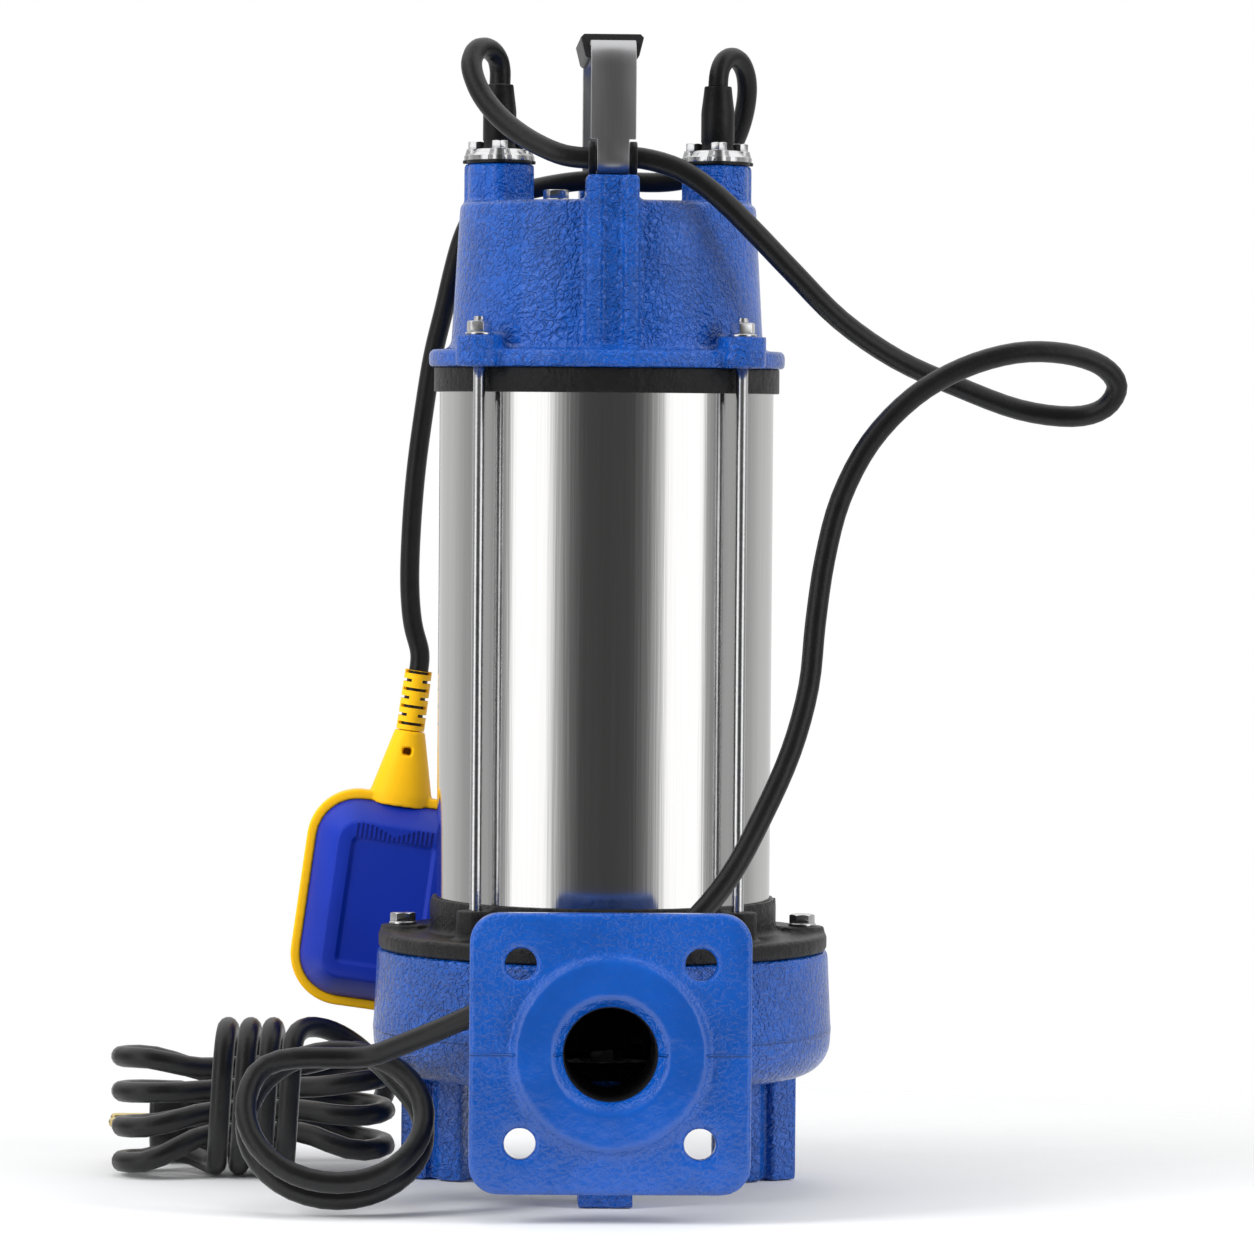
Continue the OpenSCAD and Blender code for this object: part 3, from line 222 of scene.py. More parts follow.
def outward(obj):
    """Merges doubles and turns every face outward."""
    edit(obj)
    bpy.ops.mesh.remove_doubles(threshold=1e-6)
    bpy.ops.mesh.normals_make_consistent(inside=False)
    close()


def joined(name, parts):
    """Joins parts as one object."""
    pick(*parts)
    if len(parts) > 1:
        bpy.ops.object.join()
    obj = bpy.context.view_layer.objects.active
    obj.name = name
    obj.data.name = name
    return obj


def solid_copy(name, node):
    """Copies a CAD solid as a merged mesh without materials."""
    obj = joined(name, [linked(name, frame["nodes"][node].data.copy())])
    obj.data.materials.clear()
    edit(obj)
    bpy.ops.mesh.remove_doubles(threshold=1e-5)
    close()
    return obj


def cast(name, node, slot, voxel, passes, keep, body="root", carver=None):
    """Replaces a CAD solid by one with the soft edges and fillets of a casting or moulding."""
    obj = solid_copy(name, node)
    if carver:
        modify(obj, "BOOLEAN", operation="DIFFERENCE", object=carver, solver="EXACT")
        bpy.data.objects.remove(carver)
    modify(obj, "REMESH", mode="VOXEL", voxel_size=voxel)
    modify(obj, "SMOOTH", factor=0.5, iterations=passes)
    modify(obj, "DECIMATE", ratio=keep)
    pick(obj)
    bpy.ops.object.shade_smooth()
    return dress(obj, slot, body, [node])


def edged(name, node, slot, width, segments=2, degrees=32.0):
    """Replaces a CAD solid by one with small bevels along its edges."""
    obj = solid_copy(name, node)
    modify(obj, "DECIMATE", decimate_type="DISSOLVE", angle_limit=math.radians(0.6))
    modify(obj, "BEVEL", width=width, segments=segments, limit_method="ANGLE",
           angle_limit=math.radians(degrees), use_clamp_overlap=True)
    smooth(obj, 34.0)
    return dress(obj, slot, stands_for=[node])


def block(name, size, place):
    """A block of a size in millimetres at a place."""
    bpy.ops.mesh.primitive_cube_add(size=1.0, location=(0, 0, 0), scale=Vector(size) * MM)
    made = bpy.context.view_layer.objects.active
    made.name = name
    bpy.ops.object.transform_apply(location=True, rotation=True, scale=True)
    made.data.transform(place)
    return made


def lathe(name, profile, steps=64):
    """Spins a profile of (radius, height) pairs in millimetres round the Z axis."""
    mesh = bpy.data.meshes.new(name)
    points = [(r * MM, 0.0, z * MM) for r, z in profile]
    mesh.from_pydata(points, [(i, i + 1) for i in range(len(points) - 1)], [])
    obj = linked(name, mesh)
    edit(obj)
    bpy.ops.mesh.spin(steps=steps, angle=2 * math.pi, center=(0, 0, 0), axis=(0, 0, 1))
    close()
    outward(obj)
    return obj


def select_faces(obj, test):
    """Selects in edit mode the faces whose middle and normal pass a test."""
    edit(obj)
    bpy.ops.mesh.select_all(action="DESELECT")
    bpy.ops.mesh.select_mode(type="FACE")
    close()
    for face in obj.data.polygons:
        face.select = test(face.center, face.normal)
    bpy.ops.object.mode_set(mode="EDIT")


def at(x, y, z, turn=0.0):
    """Place of a copy, in millimetres and degrees round Z."""
    return Matrix.Translation(Vector((x, y, z)) * MM) @ Matrix.Rotation(math.radians(turn), 4, "Z")


def around(radius, angles, z):
    return [at(radius * math.cos(math.radians(a)), radius * math.sin(math.radians(a)), z, a)
            for a in angles]


def repeated(obj, places):
    """Puts a copy of a modelled piece at each place and joins the copies."""
    copies = []
    for place in places:
        mesh = obj.data.copy()
        mesh.transform(place)
        copies.append(linked(obj.name, mesh))
    name = obj.name
    bpy.data.objects.remove(obj)
    return joined(name, copies)


def dress(obj, slot, body="root", stands_for=()):
    """Gives a finished piece its material, its body and the CAD nodes that it stands for."""
    if obj.type != "CURVE" and not obj.data.materials:
        obj.data.materials.append(finish_for(slot))
    if stands_for:
        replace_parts(obj, *stands_for)
    if body:
        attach(obj, body)
    return obj


# ---------------------------------------------------------------- materials


class Wire:
    """A node's output that takes part in plain arithmetic."""

    def __init__(self, tree, socket):
        self.tree, self.socket = tree, socket

    def maths(self, operation, *others, clamp=False):
        settings = {"operation": operation, "use_clamp": clamp}
        return self.tree.node("ShaderNodeMath", settings, dict(enumerate((self, *others))))

    def __add__(self, other):
        return self.maths("ADD", other)

    __radd__ = __add__

    def __sub__(self, other):
        return self.maths("SUBTRACT", other)

    def __rsub__(self, other):
        return self.maths("MULTIPLY", -1.0) + other

    def __mul__(self, other):
        return self.maths("MULTIPLY", other)

    __rmul__ = __mul__

    def __pow__(self, other):
        return self.maths("POWER", other)

    def between(self, low, high):
        """0 below low, 1 above high and smooth in between."""
        settings = {"interpolation_type": "SMOOTHSTEP"}
        return self.tree.node("ShaderNodeMapRange", settings, {0: self, 1: low, 2: high})


class Tree:
    """Makes the nodes of one material or world."""

    def __init__(self, owner):
        owner.use_nodes = True
        self.nodes, self.links = owner.node_tree.nodes, owner.node_tree.links
        self.nodes.clear()

    def node(self, kind, settings=None, inputs=None, out=0):
        made = self.nodes.new(kind)
        for name, value in (settings or {}).items():
            if name == "stops":
                ramp = made.color_ramp
                while len(ramp.elements) > 1:
                    ramp.elements.remove(ramp.elements[-1])
                ramp.elements[0].position, ramp.elements[0].color = value[0]
                for place, colour in value[1:]:
                    ramp.elements.new(place).color = colour
            else:
                setattr(made, name, value)
        for name, value in (inputs or {}).items():
            socket = made.inputs[name]
            if isinstance(value, Wire):
                self.links.new(value.socket, socket)
            elif hasattr(value, "__len__") and len(value) == 3 and socket.type == "RGBA":
                socket.default_value = (*value, 1.0)
            else:
                socket.default_value = value
        return Wire(self, made.outputs[out]) if len(made.outputs) else made

    def where(self):
        return self.node("ShaderNodeTexCoord", out="Object")

    def split(self, vector):
        """The three parts of a vector."""
        xyz = self.node("ShaderNodeSeparateXYZ", None, {0: vector})
        return [Wire(self, xyz.socket.node.outputs[i]) for i in range(3)]

    def scaled(self, vector, factors):
        return self.node("ShaderNodeVectorMath", {"operation": "MULTIPLY"}, {0: vector, 1: factors})

    def shifted(self, vector, amount, reach):
        """A vector moved by a wandering amount in all directions."""
        push = self.node("ShaderNodeCombineXYZ", None,
                         {0: amount * reach, 1: amount * -reach, 2: amount * reach})
        return self.node("ShaderNodeVectorMath", {"operation": "ADD"}, {0: vector, 1: push})

    def noise(self, vector, scale, detail=2.0, rough=0.5):
        return self.node("ShaderNodeTexNoise", None,
                         {"Vector": vector, "Scale": scale, "Detail": detail, "Roughness": rough})

    def cells(self, vector, scale, feature="SMOOTH_F1"):
        return self.node("ShaderNodeTexVoronoi", {"feature": feature},
                         {"Vector": vector, "Scale": scale})

    def mix(self, share, first, second):
        return self.node("ShaderNodeMix", {"data_type": "RGBA"}, {0: share, 6: first, 7: second}, 2)

    def bump(self, height, distance, strength=1.0):
        return self.node("ShaderNodeBump", None,
                         {"Height": height, "Distance": distance, "Strength": strength})


def surface(tree, colour, rough, normal=None, **sockets):
    """Ends a material in one Principled shader. Colour and rough may be wires."""
    inputs = {"Base Color": colour, "Roughness": rough}
    if normal:
        inputs["Normal"] = normal
    inputs.update({key.replace("_", " ").title().replace("Ior", "IOR"): value
                   for key, value in sockets.items()})
    shader = tree.node("ShaderNodeBsdfPrincipled", None, inputs)
    tree.node("ShaderNodeOutputMaterial", None, {"Surface": shader})


def blue_enamel(tree, look):
    """Hammered gloss enamel over cast iron."""
    where = tree.where()
    x, y, z = tree.split(where)
    drift = tree.noise(where, 0.5 / look.hammer_size, 2.0)
    curls = tree.noise(tree.shifted(where, drift, 2.2 * look.hammer_size),
                       0.9 / look.hammer_size, 1.0)
    wrinkle = 1.0 - (curls - 0.5).maths("ABSOLUTE").between(0.0, 0.16)
    dimples = tree.cells(where, 1.0 / look.hammer_size)
    turned = y.between((PAD_Y + 0.4) * MM, (PAD_Y + 1.6) * MM)
    patches = tree.noise(where, 22.0, 3.0).between(0.3, 0.6) * 0.6 + 0.4
    calm = y.between((FLANGE_Y + 4.0) * MM, (FLANGE_Y + 14.0) * MM) * 0.7 + 0.3
    hammered = (wrinkle * 0.5 + dimples * 0.9) * patches * calm * (turned * 0.85 + 0.15)
    seam = 1.0 - (z - PARTING_Z * MM).maths("ABSOLUTE").between(0.0002, 0.0009)
    swell = tree.noise(where, 70.0, 2.0)
    normal = tree.bump(hammered + seam * turned * 0.6 + swell * 0.5, 0.0018)
    tone = tree.noise(where, 26.0, 4.0, 0.6).between(0.3, 0.7)
    deep = tuple(0.85 * v for v in look.paint)
    pale = tuple(1.1 * v for v in look.paint)
    from_axis = (x * x + y * y) ** 0.5
    from_bore = (x * x + (z - PARTING_Z * MM) ** 2.0) ** 0.5
    # Inside the volute and the outlet bore the colour is painted near-black: painted shade of these
    # dark cavities. There the surface is also rougher and has no coat.
    in_volute = ((1.0 - from_axis.between(0.089, 0.090)) * z.between(0.0555, 0.0560)
                 * (1.0 - z.between(0.1115, 0.1120)))
    in_bore = (1.0 - from_bore.between((BORE_R + 0.4) * MM, (BORE_R + 0.9) * MM)) * (
        1.0 - y.between(-0.081, -0.080))
    painted_shade_inside = (in_volute + in_bore).maths("MINIMUM", 1.0)
    colour = tree.mix(painted_shade_inside, tree.mix(tone, deep, pale), (0.004, 0.004, 0.005))
    surface(tree, colour, 0.16 + curls * 0.12 + painted_shade_inside * 0.5, normal,
            coat_weight=0.3 - 0.3 * painted_shade_inside, coat_roughness=0.08, specular_ior_level=0.62)


def black_iron(tree, look):
    """Satin black paint on rough cast iron."""
    where = tree.where()
    grain = tree.noise(where, 900.0, 3.0, 0.6)
    sand = tree.noise(where, 190.0, 3.0)
    worn = tree.noise(where, 45.0, 3.0).between(0.55, 0.8)
    colour = tree.mix(worn, (0.007, 0.007, 0.0072), (0.018, 0.0165, 0.0155))
    surface(tree, colour, 0.24 + grain * 0.26, tree.bump(grain * 0.45 + sand, 0.0011),
            specular_ior_level=0.32)


def bright_steel(tree, look):
    """Polished stainless of the screws and plates."""
    where = tree.where()
    wear = tree.noise(where, 420.0, 3.0)
    marks = tree.noise(tree.scaled(where, (1.0, 1.0, 6.0)), 300.0, 2.0)
    colour = tree.mix(marks, (0.62, 0.62, 0.63), (0.84, 0.84, 0.85))
    surface(tree, colour, 0.1 + wear * 0.16, tree.bump(wear, 0.00006), metallic=1.0)


def tube_steel(tree, look):
    """Bright drawn stainless with faint lines along the tube."""
    where = tree.where()
    lines = tree.noise(tree.scaled(where, (1.0, 1.0, 0.012)), 700.0, 3.0)
    haze = tree.noise(where, 30.0, 3.0)
    colour = tree.mix(lines, (0.74, 0.735, 0.73), (0.86, 0.855, 0.85))
    surface(tree, colour, 0.07 + lines * 0.05 + haze * 0.03, tree.bump(lines, 0.00003),
            metallic=1.0)


def strap_steel(tree, look):
    """Stainless strip brushed along its length."""
    where = tree.where()
    brush = tree.noise(tree.scaled(where, (1.0, 0.02, 0.02)), 2600.0, 3.0)
    colour = tree.mix(brush, (0.46, 0.46, 0.47), (0.58, 0.58, 0.59))
    surface(tree, colour, 0.35 + brush * 0.08, tree.bump(brush, 0.00003), metallic=1.0)


def black_rubber(tree, look):
    """Satin moulded rubber."""
    where = tree.where()
    skin = tree.noise(where, 700.0, 3.0)
    dust = tree.noise(where, 80.0, 4.0).between(0.5, 0.8)
    colour = tree.mix(dust, (0.004, 0.004, 0.004), (0.011, 0.011, 0.011))
    surface(tree, colour, 0.3 + skin * 0.16, tree.bump(skin, 0.00012),
            specular_ior_level=0.38)


def cord_sheath(tree, look):
    """Matte rubber sheath with the faint lay of the cores under it."""
    where = tree.where()
    skin = tree.noise(where, 900.0, 3.0)
    lay = tree.noise(where, 95.0, 2.0)
    colour = tree.mix(lay, (0.004, 0.004, 0.0042), (0.0085, 0.0085, 0.009))
    surface(tree, colour, look.cord_rough + skin * 0.12, tree.bump(skin * 0.5 + lay, 0.00025),
            specular_ior_level=0.4)


def grip_plastic(tree, look):
    """Black grip plastic with a fine leathered texture."""
    where = tree.where()
    pebble = tree.cells(where, 1100.0, "F1")
    colour = tree.mix(pebble, (0.02, 0.02, 0.021), (0.012, 0.012, 0.013))
    surface(tree, colour, 0.36 + pebble * 0.15, tree.bump(pebble, 0.00018))


def moulded(colour_name, shade):
    """A moulded float plastic: its colour, a slight mottle and a satin skin."""

    def build(tree, look):
        where = tree.where()
        base = tuple(getattr(look, colour_name))
        skin = tree.noise(where, 1300.0, 2.0)
        flow = tree.noise(where, 22.0, 3.0).between(0.35, 0.7)
        colour = tree.mix(flow, tuple(shade * v for v in base), base)
        surface(tree, colour, 0.3 + skin * 0.14, tree.bump(skin, 0.00006),
                specular_ior_level=0.34)

    return build


def plain(dark, light, rough, scale=400.0, metallic=0.0, stretch=(1, 1, 1), bump=0.0001):
    """A simple finish of two close colours over a fine grain."""

    def build(tree, look):
        grain = tree.noise(tree.scaled(tree.where(), stretch), scale, 3.0)
        colour = tree.mix(grain, dark, light)
        surface(tree, colour, rough + grain * 0.15, tree.bump(grain, bump), metallic=metallic)

    return build


FINISHES = {
    "blue_paint": blue_enamel,
    "black_casting": black_iron,
    "bright_fasteners": bright_steel,
    "rubber": black_rubber,
    "grip_plastic": grip_plastic,
    "cable_rubber": cord_sheath,
    "motor_stainless": tube_steel,
    "handle_stainless": strap_steel,
    "float_blue": moulded("float_blue", 0.88),
    "float_yellow": moulded("float_yellow", 0.95),
    "pin_brass": plain((0.62, 0.48, 0.2), (0.78, 0.64, 0.34), 0.22, metallic=1.0),
    "seal_ceramic": plain((0.8, 0.79, 0.74), (0.9, 0.89, 0.85), 0.25),
    "seal_carbon": plain((0.02, 0.02, 0.02), (0.045, 0.045, 0.046), 0.3),
    "bearing_steel": plain((0.5, 0.5, 0.51), (0.68, 0.68, 0.69), 0.16, metallic=1.0),
    "core_steel": plain((0.24, 0.24, 0.26), (0.46, 0.46, 0.48), 0.32, 900.0, 1.0,
                        (0.02, 0.02, 1.0), 0.0003),
    "copper": plain((0.42, 0.15, 0.05), (0.74, 0.34, 0.14), 0.28, 800.0, 1.0,
                    (1.0, 1.0, 0.1), 0.0003),
    "aluminium": plain((0.62, 0.62, 0.63), (0.78, 0.78, 0.79), 0.32, metallic=1.0),
    "inner_plastic": plain((0.6, 0.6, 0.56), (0.72, 0.72, 0.68), 0.38),
}


def finish_for(slot):
    """The material of a slot, made when first asked for."""
    material = bpy.data.materials.get("look_" + slot)
    if material is None:
        material = bpy.data.materials.new("look_" + slot)
        FINISHES[slot](Tree(material), bpy.context.scene.pump_look)
    return material


# ---------------------------------------------------------------- settings


def colour_setting(name, description, value):
    return FloatVectorProperty(name=name, description=description, subtype="COLOR", size=3,
                               min=0.0, max=1.0, default=value)


def size_setting(name, description, value):
    return FloatProperty(name=name, description=description, default=value * MM, min=0.0,
                         precision=5, unit="LENGTH")


class PumpLook(bpy.types.PropertyGroup):
    """Colours and textures of the pump."""

    paint: colour_setting("Enamel", "Colour of the hammered enamel", (0.0015, 0.073, 0.38))
    float_blue: colour_setting("Float shells", "Colour of the float's two shells",
                               (0.002, 0.026, 0.37))
    float_yellow: colour_setting("Float frame", "Colour of the float's frame and strain relief",
                                 (0.98, 0.53, 0.001))
    hammer_size: size_setting("Dimple size", "Size of the enamel's dimples", 2.6)
    cord_rough: FloatProperty(name="Cord roughness", min=0.0, max=1.0, default=0.27,
                              description="Least roughness of the cables' sheath",
                              subtype="FACTOR")


class PumpSizes(bpy.types.PropertyGroup):
    """Sizes of the details."""

    cast_voxel: size_setting("Casting detail", "Smallest detail of the castings", 1.5)
    tube_edge: size_setting("Tube edge", "Rounding of the tube's ends", 0.4)
    strap_edge: size_setting("Strap edge", "Rounding of the strap's edges", 0.35)
    slot_depth: size_setting("Relief slots", "Depth of the slots in the strain relief", 1.5)
    panel_depth: size_setting("Float panel", "Depth of the panel in the float's shells", 1.3)


# ---------------------------------------------------------------- cords


def through(points, parts):
    """A smooth curve through points, with this many parts between each two."""
    points = [Vector(p) for p in points]
    ends = [2 * points[0] - points[1], *points, 2 * points[-1] - points[-2]]
    path = []
    for a, b, c, d in zip(ends, ends[1:], ends[2:], ends[3:]):
        for i in range(parts):
            t = i / parts
            path.append(0.5 * (2 * b + (c - a) * t + (2 * a - 5 * b + 4 * c - d) * t * t
                               + (3 * b - 3 * c + d - a) * t ** 3))
    return path + [points[-1]]


def evened(path, step, passes):
    """The same run with even steps and its kinks eased."""
    even, left = [path[0]], step
    for a, b in zip(path, path[1:]):
        far = (b - a).length
        while left < far:
            even.append(a.lerp(b, left / far))
            left += step
        left -= far
    even[-1] = path[-1]
    for _ in range(passes):
        even = [even[0], *((a + 2 * b + c) / 4 for a, b, c in zip(even, even[1:], even[2:])),
                even[-1]]
    return even


def bridge(p, m, q, n, steps):
    """The points between p and q of a curve that leaves along m and arrives along n."""
    made = []
    for i in range(1, steps):
        t = i / steps
        made.append((2 * t ** 3 - 3 * t * t + 1) * p + (t ** 3 - 2 * t * t + t) * m
                    + (3 * t * t - 2 * t ** 3) * q + (t ** 3 - t * t) * n)
    return made


def heading(run, v, step=0.001):
    """Direction of a run at v turns."""
    return (run(v + step) - run(v - step)).normalized()


def stations(run, turns, start=0.0):
    count = round(turns * STEPS_PER_TURN)
    return [run(start + turns * i / count) for i in range(count + 1)]


def loose_loop(v):
    a = 2 * math.pi * v
    up = Vector((0, math.sin(LOOP_LEAN), math.cos(LOOP_LEAN)))
    aside = Vector((0, math.cos(LOOP_LEAN), -math.sin(LOOP_LEAN)))
    return (LOOPS_AT + Vector((-LOOP_W * math.sin(a), 0, 0)) + LOOP_H * math.cos(a) * up
            + LOOP_STEP * (v - 1) * aside)


LOBE_X = math.sqrt((LOBE_R + WAIST_R) ** 2 - (WAIST_R + WAIST_HALF) ** 2)
LOBE_TURN = math.pi - math.atan2(WAIST_R + WAIST_HALF, LOBE_X)
QUARTER = LOBE_R * LOBE_TURN + WAIST_R * (LOBE_TURN - math.pi / 2)


def quarter(s):
    """A quarter of the hank's outline, from the tip of a lobe to the waist."""
    if s < LOBE_R * LOBE_TURN:
        t = s / LOBE_R
        return -LOBE_X - LOBE_R * math.cos(t), LOBE_R * math.sin(t)
    a = (QUARTER - s) / WAIST_R
    return -WAIST_R * math.sin(a), WAIST_HALF + WAIST_R * (1 - math.cos(a))


def hank(t):
    s = ((t + HANK_START) % 1) * 4 * QUARTER
    part = int(s // QUARTER) % 4
    x, y = quarter((s, 2 * QUARTER - s, s - 2 * QUARTER, 4 * QUARTER - s)[part])
    x, y = (x if part in (0, 3) else -x), (y if part in (0, 1) else -y)
    fade = (abs(x) - WAIST_FLAT) / WAIST_FADE
    waist = 1.0 if fade < 0 else 0.0 if fade > 1 else 0.5 + 0.5 * math.cos(math.pi * fade)
    left = HANK_TURNS - t
    z = ((1 - waist) * (POWER_CORD_D / 2 + LOBE_STEP * left)
         + waist * (WAIST_LIFT + WAIST_STEP * left))
    return Vector((HANK_AT[0] + x, HANK_AT[1] + y, z))


def wrap(v):
    q = math.pi * WRAP_R / 2
    s = (v % 1) * (4 * q + 2 * WRAP_RISE)
    low = POWER_CORD_D / 2 + WRAP_R
    high = low + WRAP_RISE
    if s < q:
        y, z = -WRAP_R * math.sin(s / WRAP_R), low - WRAP_R * math.cos(s / WRAP_R)
    elif s < q + WRAP_RISE:
        y, z = -WRAP_R, low + s - q
    elif s < 3 * q + WRAP_RISE:
        a = (s - q - WRAP_RISE) / WRAP_R
        y, z = -WRAP_R * math.cos(a), high + WRAP_R * math.sin(a)
    elif s < 3 * q + 2 * WRAP_RISE:
        y, z = WRAP_R, high - (s - 3 * q - WRAP_RISE)
    else:
        a = (s - 3 * q - 2 * WRAP_RISE) / WRAP_R
        y, z = WRAP_R * math.cos(a), low - WRAP_R * math.sin(a)
    return Vector((WRAP_X + WRAP_STEP * v, HANK_AT[1] + y, z))


def pile():
    """The stored power cord, from the end of its free route to the plug."""
    start = Vector(POWER_ROUTE[-1])
    out = (start - Vector(POWER_ROUTE[-2])).normalized()
    into = Vector((-1, 0, 0))
    loops = stations(loose_loop, LOOP_TURNS[1] - LOOP_TURNS[0], LOOP_TURNS[0])
    turns = stations(hank, HANK_TURNS)
    wraps = stations(wrap, WRAP_TURNS[1] - WRAP_TURNS[0], WRAP_TURNS[0])
    lead = start + POWER_CORD_D * out
    tail = PLUG_TAIL - POWER_CORD_D * into
    path = [start, lead]
    path += bridge(lead, LOOPS_PULL[0] * out, loops[0],
                   LOOPS_PULL[1] * heading(loose_loop, LOOP_TURNS[0]), 8) + loops
    path += bridge(loops[-1], HANK_PULL[0] * heading(loose_loop, LOOP_TURNS[1]), turns[0],
                   HANK_PULL[1] * heading(hank, 0.001), 16) + turns
    path += bridge(turns[-1], WRAPS_PULL[0] * heading(hank, HANK_TURNS - 0.001), wraps[0],
                   WRAPS_PULL[1] * heading(wrap, WRAP_TURNS[0]), 10) + wraps
    path += bridge(wraps[-1], TAIL_PULL[0] * heading(wrap, WRAP_TURNS[1]), tail,
                   TAIL_PULL[1] * into, 24)
    return path + [tail, PLUG_TAIL]


def length_of(path):
    return sum((b - a).length for a, b in zip(path, path[1:]))


def cord_curve(name, path, diameter):
    """One open spline along a path, as thick as the cord."""
    curve = bpy.data.curves.new(name, "CURVE")
    curve.dimensions = "3D"
    curve.bevel_depth = diameter / 2 * MM
    curve.bevel_resolution = 5
    curve.use_fill_caps = True
    spline = curve.splines.new("POLY")
    spline.points.add(len(path) - 1)
    for point, place in zip(spline.points, path):
        point.co = (*(place * MM), 1.0)
    spline.use_smooth = True
    return linked(name, curve)


class PUMP_OT_power_cord(bpy.types.Operator):
    """Model the power cord with its stored pile, and its plug"""

    bl_idname = "pump.power_cord"
    bl_label = "Power Cord"

    def execute(self, context):
        plug = dress(plug_body(), "cable_rubber", stands_for=["plug_body"])
        pins = dress(plug_pins(), "pin_brass", stands_for=["plug_pins"])
        path = through(POWER_ROUTE, 4)[:-1] + pile()
        cord = cord_curve("power_cord", path, POWER_CORD_D)
        cord.data.materials.append(finish_for("cable_rubber"))
        cord.visible_glossy = False
        dress(cord, "cable_rubber", stands_for=["power_cable", "power_cable_coil"])
        length_of(path) * MM
        return {"FINISHED"}


def plug_body():
    """A moulded plug with a flexing tail, finger ribs and a stepped face."""
    tail = [(0, 0), (5.6, 0), (6.0, 0.8)]
    for i in range(5):
        z = 2.5 + 4.2 * i
        tail += [(6.1 + 0.28 * i, z), (6.1 + 0.28 * i, z + 2.6), (5.3 + 0.28 * i, z + 3.0),
                 (5.3 + 0.28 * i, z + 3.9)]
    grip = [(8.0, 24.5), (12.6, 29.5), (15.6, 33.5), (17.4, 37.5)]
    ribs = []
    for i in range(3):
        z = 39.0 + 2.6 * i
        ribs += [(17.9, z), (17.9, z + 1.3), (17.1, z + 1.6), (17.1, z + 2.3)]
    face = [(18.2, 48), (18.7, 50), (18.7, 61.4), (18.1, 62.8), (16.9, 63.6), (15.5, 64),
            (15.2, 63), (0, 63)]
    body = lathe("plug_moulded", tail + grip + ribs + face, 64)
    body.data.transform(plug_place())
    smooth(body, 40.0)
    return body


def plug_pins():
    """Two round pins with a rounded tip."""
    pin = lathe("plug_pin_pair", [(0, -2), (2.4, -2), (2.4, 16.6), (2.2, 17.8), (1.6, 18.6),
                                  (0.8, 19), (0, 19)], 24)
    smooth(pin, 50.0)
    place = plug_place() @ Matrix.Translation((0, 0, PLUG_LEN * MM))
    return repeated(pin, [place @ Matrix.Translation((0, side * 9.5 * MM, 0)) for side in (-1, 1)])


def plug_place():
    return Matrix.Translation(PLUG_TAIL * MM) @ Matrix.Rotation(-math.pi / 2, 4, "Y")


class PUMP_OT_float_cord(bpy.types.Operator):
    """Model the float switch's cable"""

    bl_idname = "pump.float_cord"
    bl_label = "Float Cable"

    def execute(self, context):
        path = evened(through(FLOAT_ROUTE, 6), 2.0, 10)
        cord = cord_curve("float_cord", path, FLOAT_CORD_D)
        pick(cord)
        bpy.ops.object.convert(target="MESH")
        cord = bpy.context.view_layer.objects.active
        cord.data.materials.clear()
        smooth(cord, 50.0)
        dress(cord, "cable_rubber", body=None, stands_for=["float_cable"])
        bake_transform(cord)
        length_of(path) * MM
        [p * MM for p in path]
        return {"FINISHED"}


# ---------------------------------------------------------------- castings and motor


class PUMP_OT_castings(bpy.types.Operator):
    """Model the cast volute with its feet, the oil chamber and the motor cap"""

    bl_idname = "pump.castings"
    bl_label = "Castings"

    def execute(self, context):
        voxel = context.scene.pump_sizes.cast_voxel
        cast("cast_volute", "volute_casing", "blue_paint", voxel, 4, 0.6)
        cast("cast_feet", "casing_feet", "blue_paint", voxel, 4, 0.7)
        cast("cast_cap", "motor_cap", "blue_paint", 0.8 * voxel, 4, 0.6,
             carver=self.rib_channels())
        cast("cast_oil_chamber", "oil_chamber", "black_casting", 0.8 * voxel, 3, 0.6)
        edged("cast_bracket", "upper_bearing_bracket", "black_casting", 0.5 * MM)
        edged("cast_suction_cover", "suction_cover", "black_casting", 0.8 * MM)
        return {"FINISHED"}

    def rib_channels(self):
        """Channels down the middle of the cap's two ribs, wider at their mouth."""
        low, high = RIB_Z
        made = []
        for side in (-1, 1):
            channel = block("channel", (CHANNEL_W, 8.0, high - low),
                            at(0, side * (RIB_Y - CHANNEL_DEPTH + 4.0), (low + high) / 2))
            select_faces(channel, lambda middle, normal: normal.y * side > 0.9)
            bpy.ops.transform.resize(value=(1.5, 1, 1), center_override=(0, 0, 0))
            close()
            made.append(channel)
        return joined("channels", made)


class PUMP_OT_motor_tube(bpy.types.Operator):
    """Model the stainless motor tube and the tie rods beside it"""

    bl_idname = "pump.motor_tube"
    bl_label = "Motor Tube"

    def execute(self, context):
        low, high = TUBE_Z
        edge = context.scene.pump_sizes.tube_edge / MM
        outer, inner = TUBE_R, TUBE_R - 2.0
        profile = [(inner, low + edge), (inner + edge, low), (outer - edge, low),
                   (outer, low + edge), (outer, high - edge), (outer - edge, high),
                   (inner + edge, high), (inner, high - edge), (inner, low + edge)]
        tube = lathe("polished_tube", profile, 192)
        smooth(tube, 35.0)
        dress(tube, "motor_stainless", stands_for=["motor_tube"])
        dress(self.rods(), "bright_fasteners", stands_for=["tie_rods"])
        return {"FINISHED"}

    def rods(self):
        """Four rods with rolled threads at both ends."""
        low, high = ROD_Z
        profile = [(0, low), (2.2, low)]
        for start in (low + 0.6, high - 13.4):
            profile += [(2.65, start)]
            for i in range(12):
                profile += [(2.25, start + i + 0.5), (2.68, start + i + 1.0)]
        profile += [(2.2, high), (0, high)]
        rod = lathe("threaded_rods", profile, 24)
        smooth(rod, 40.0)
        return repeated(rod, around(ROD_R, (45, 135, 225, 315), 0))


# ---------------------------------------------------------------- fasteners


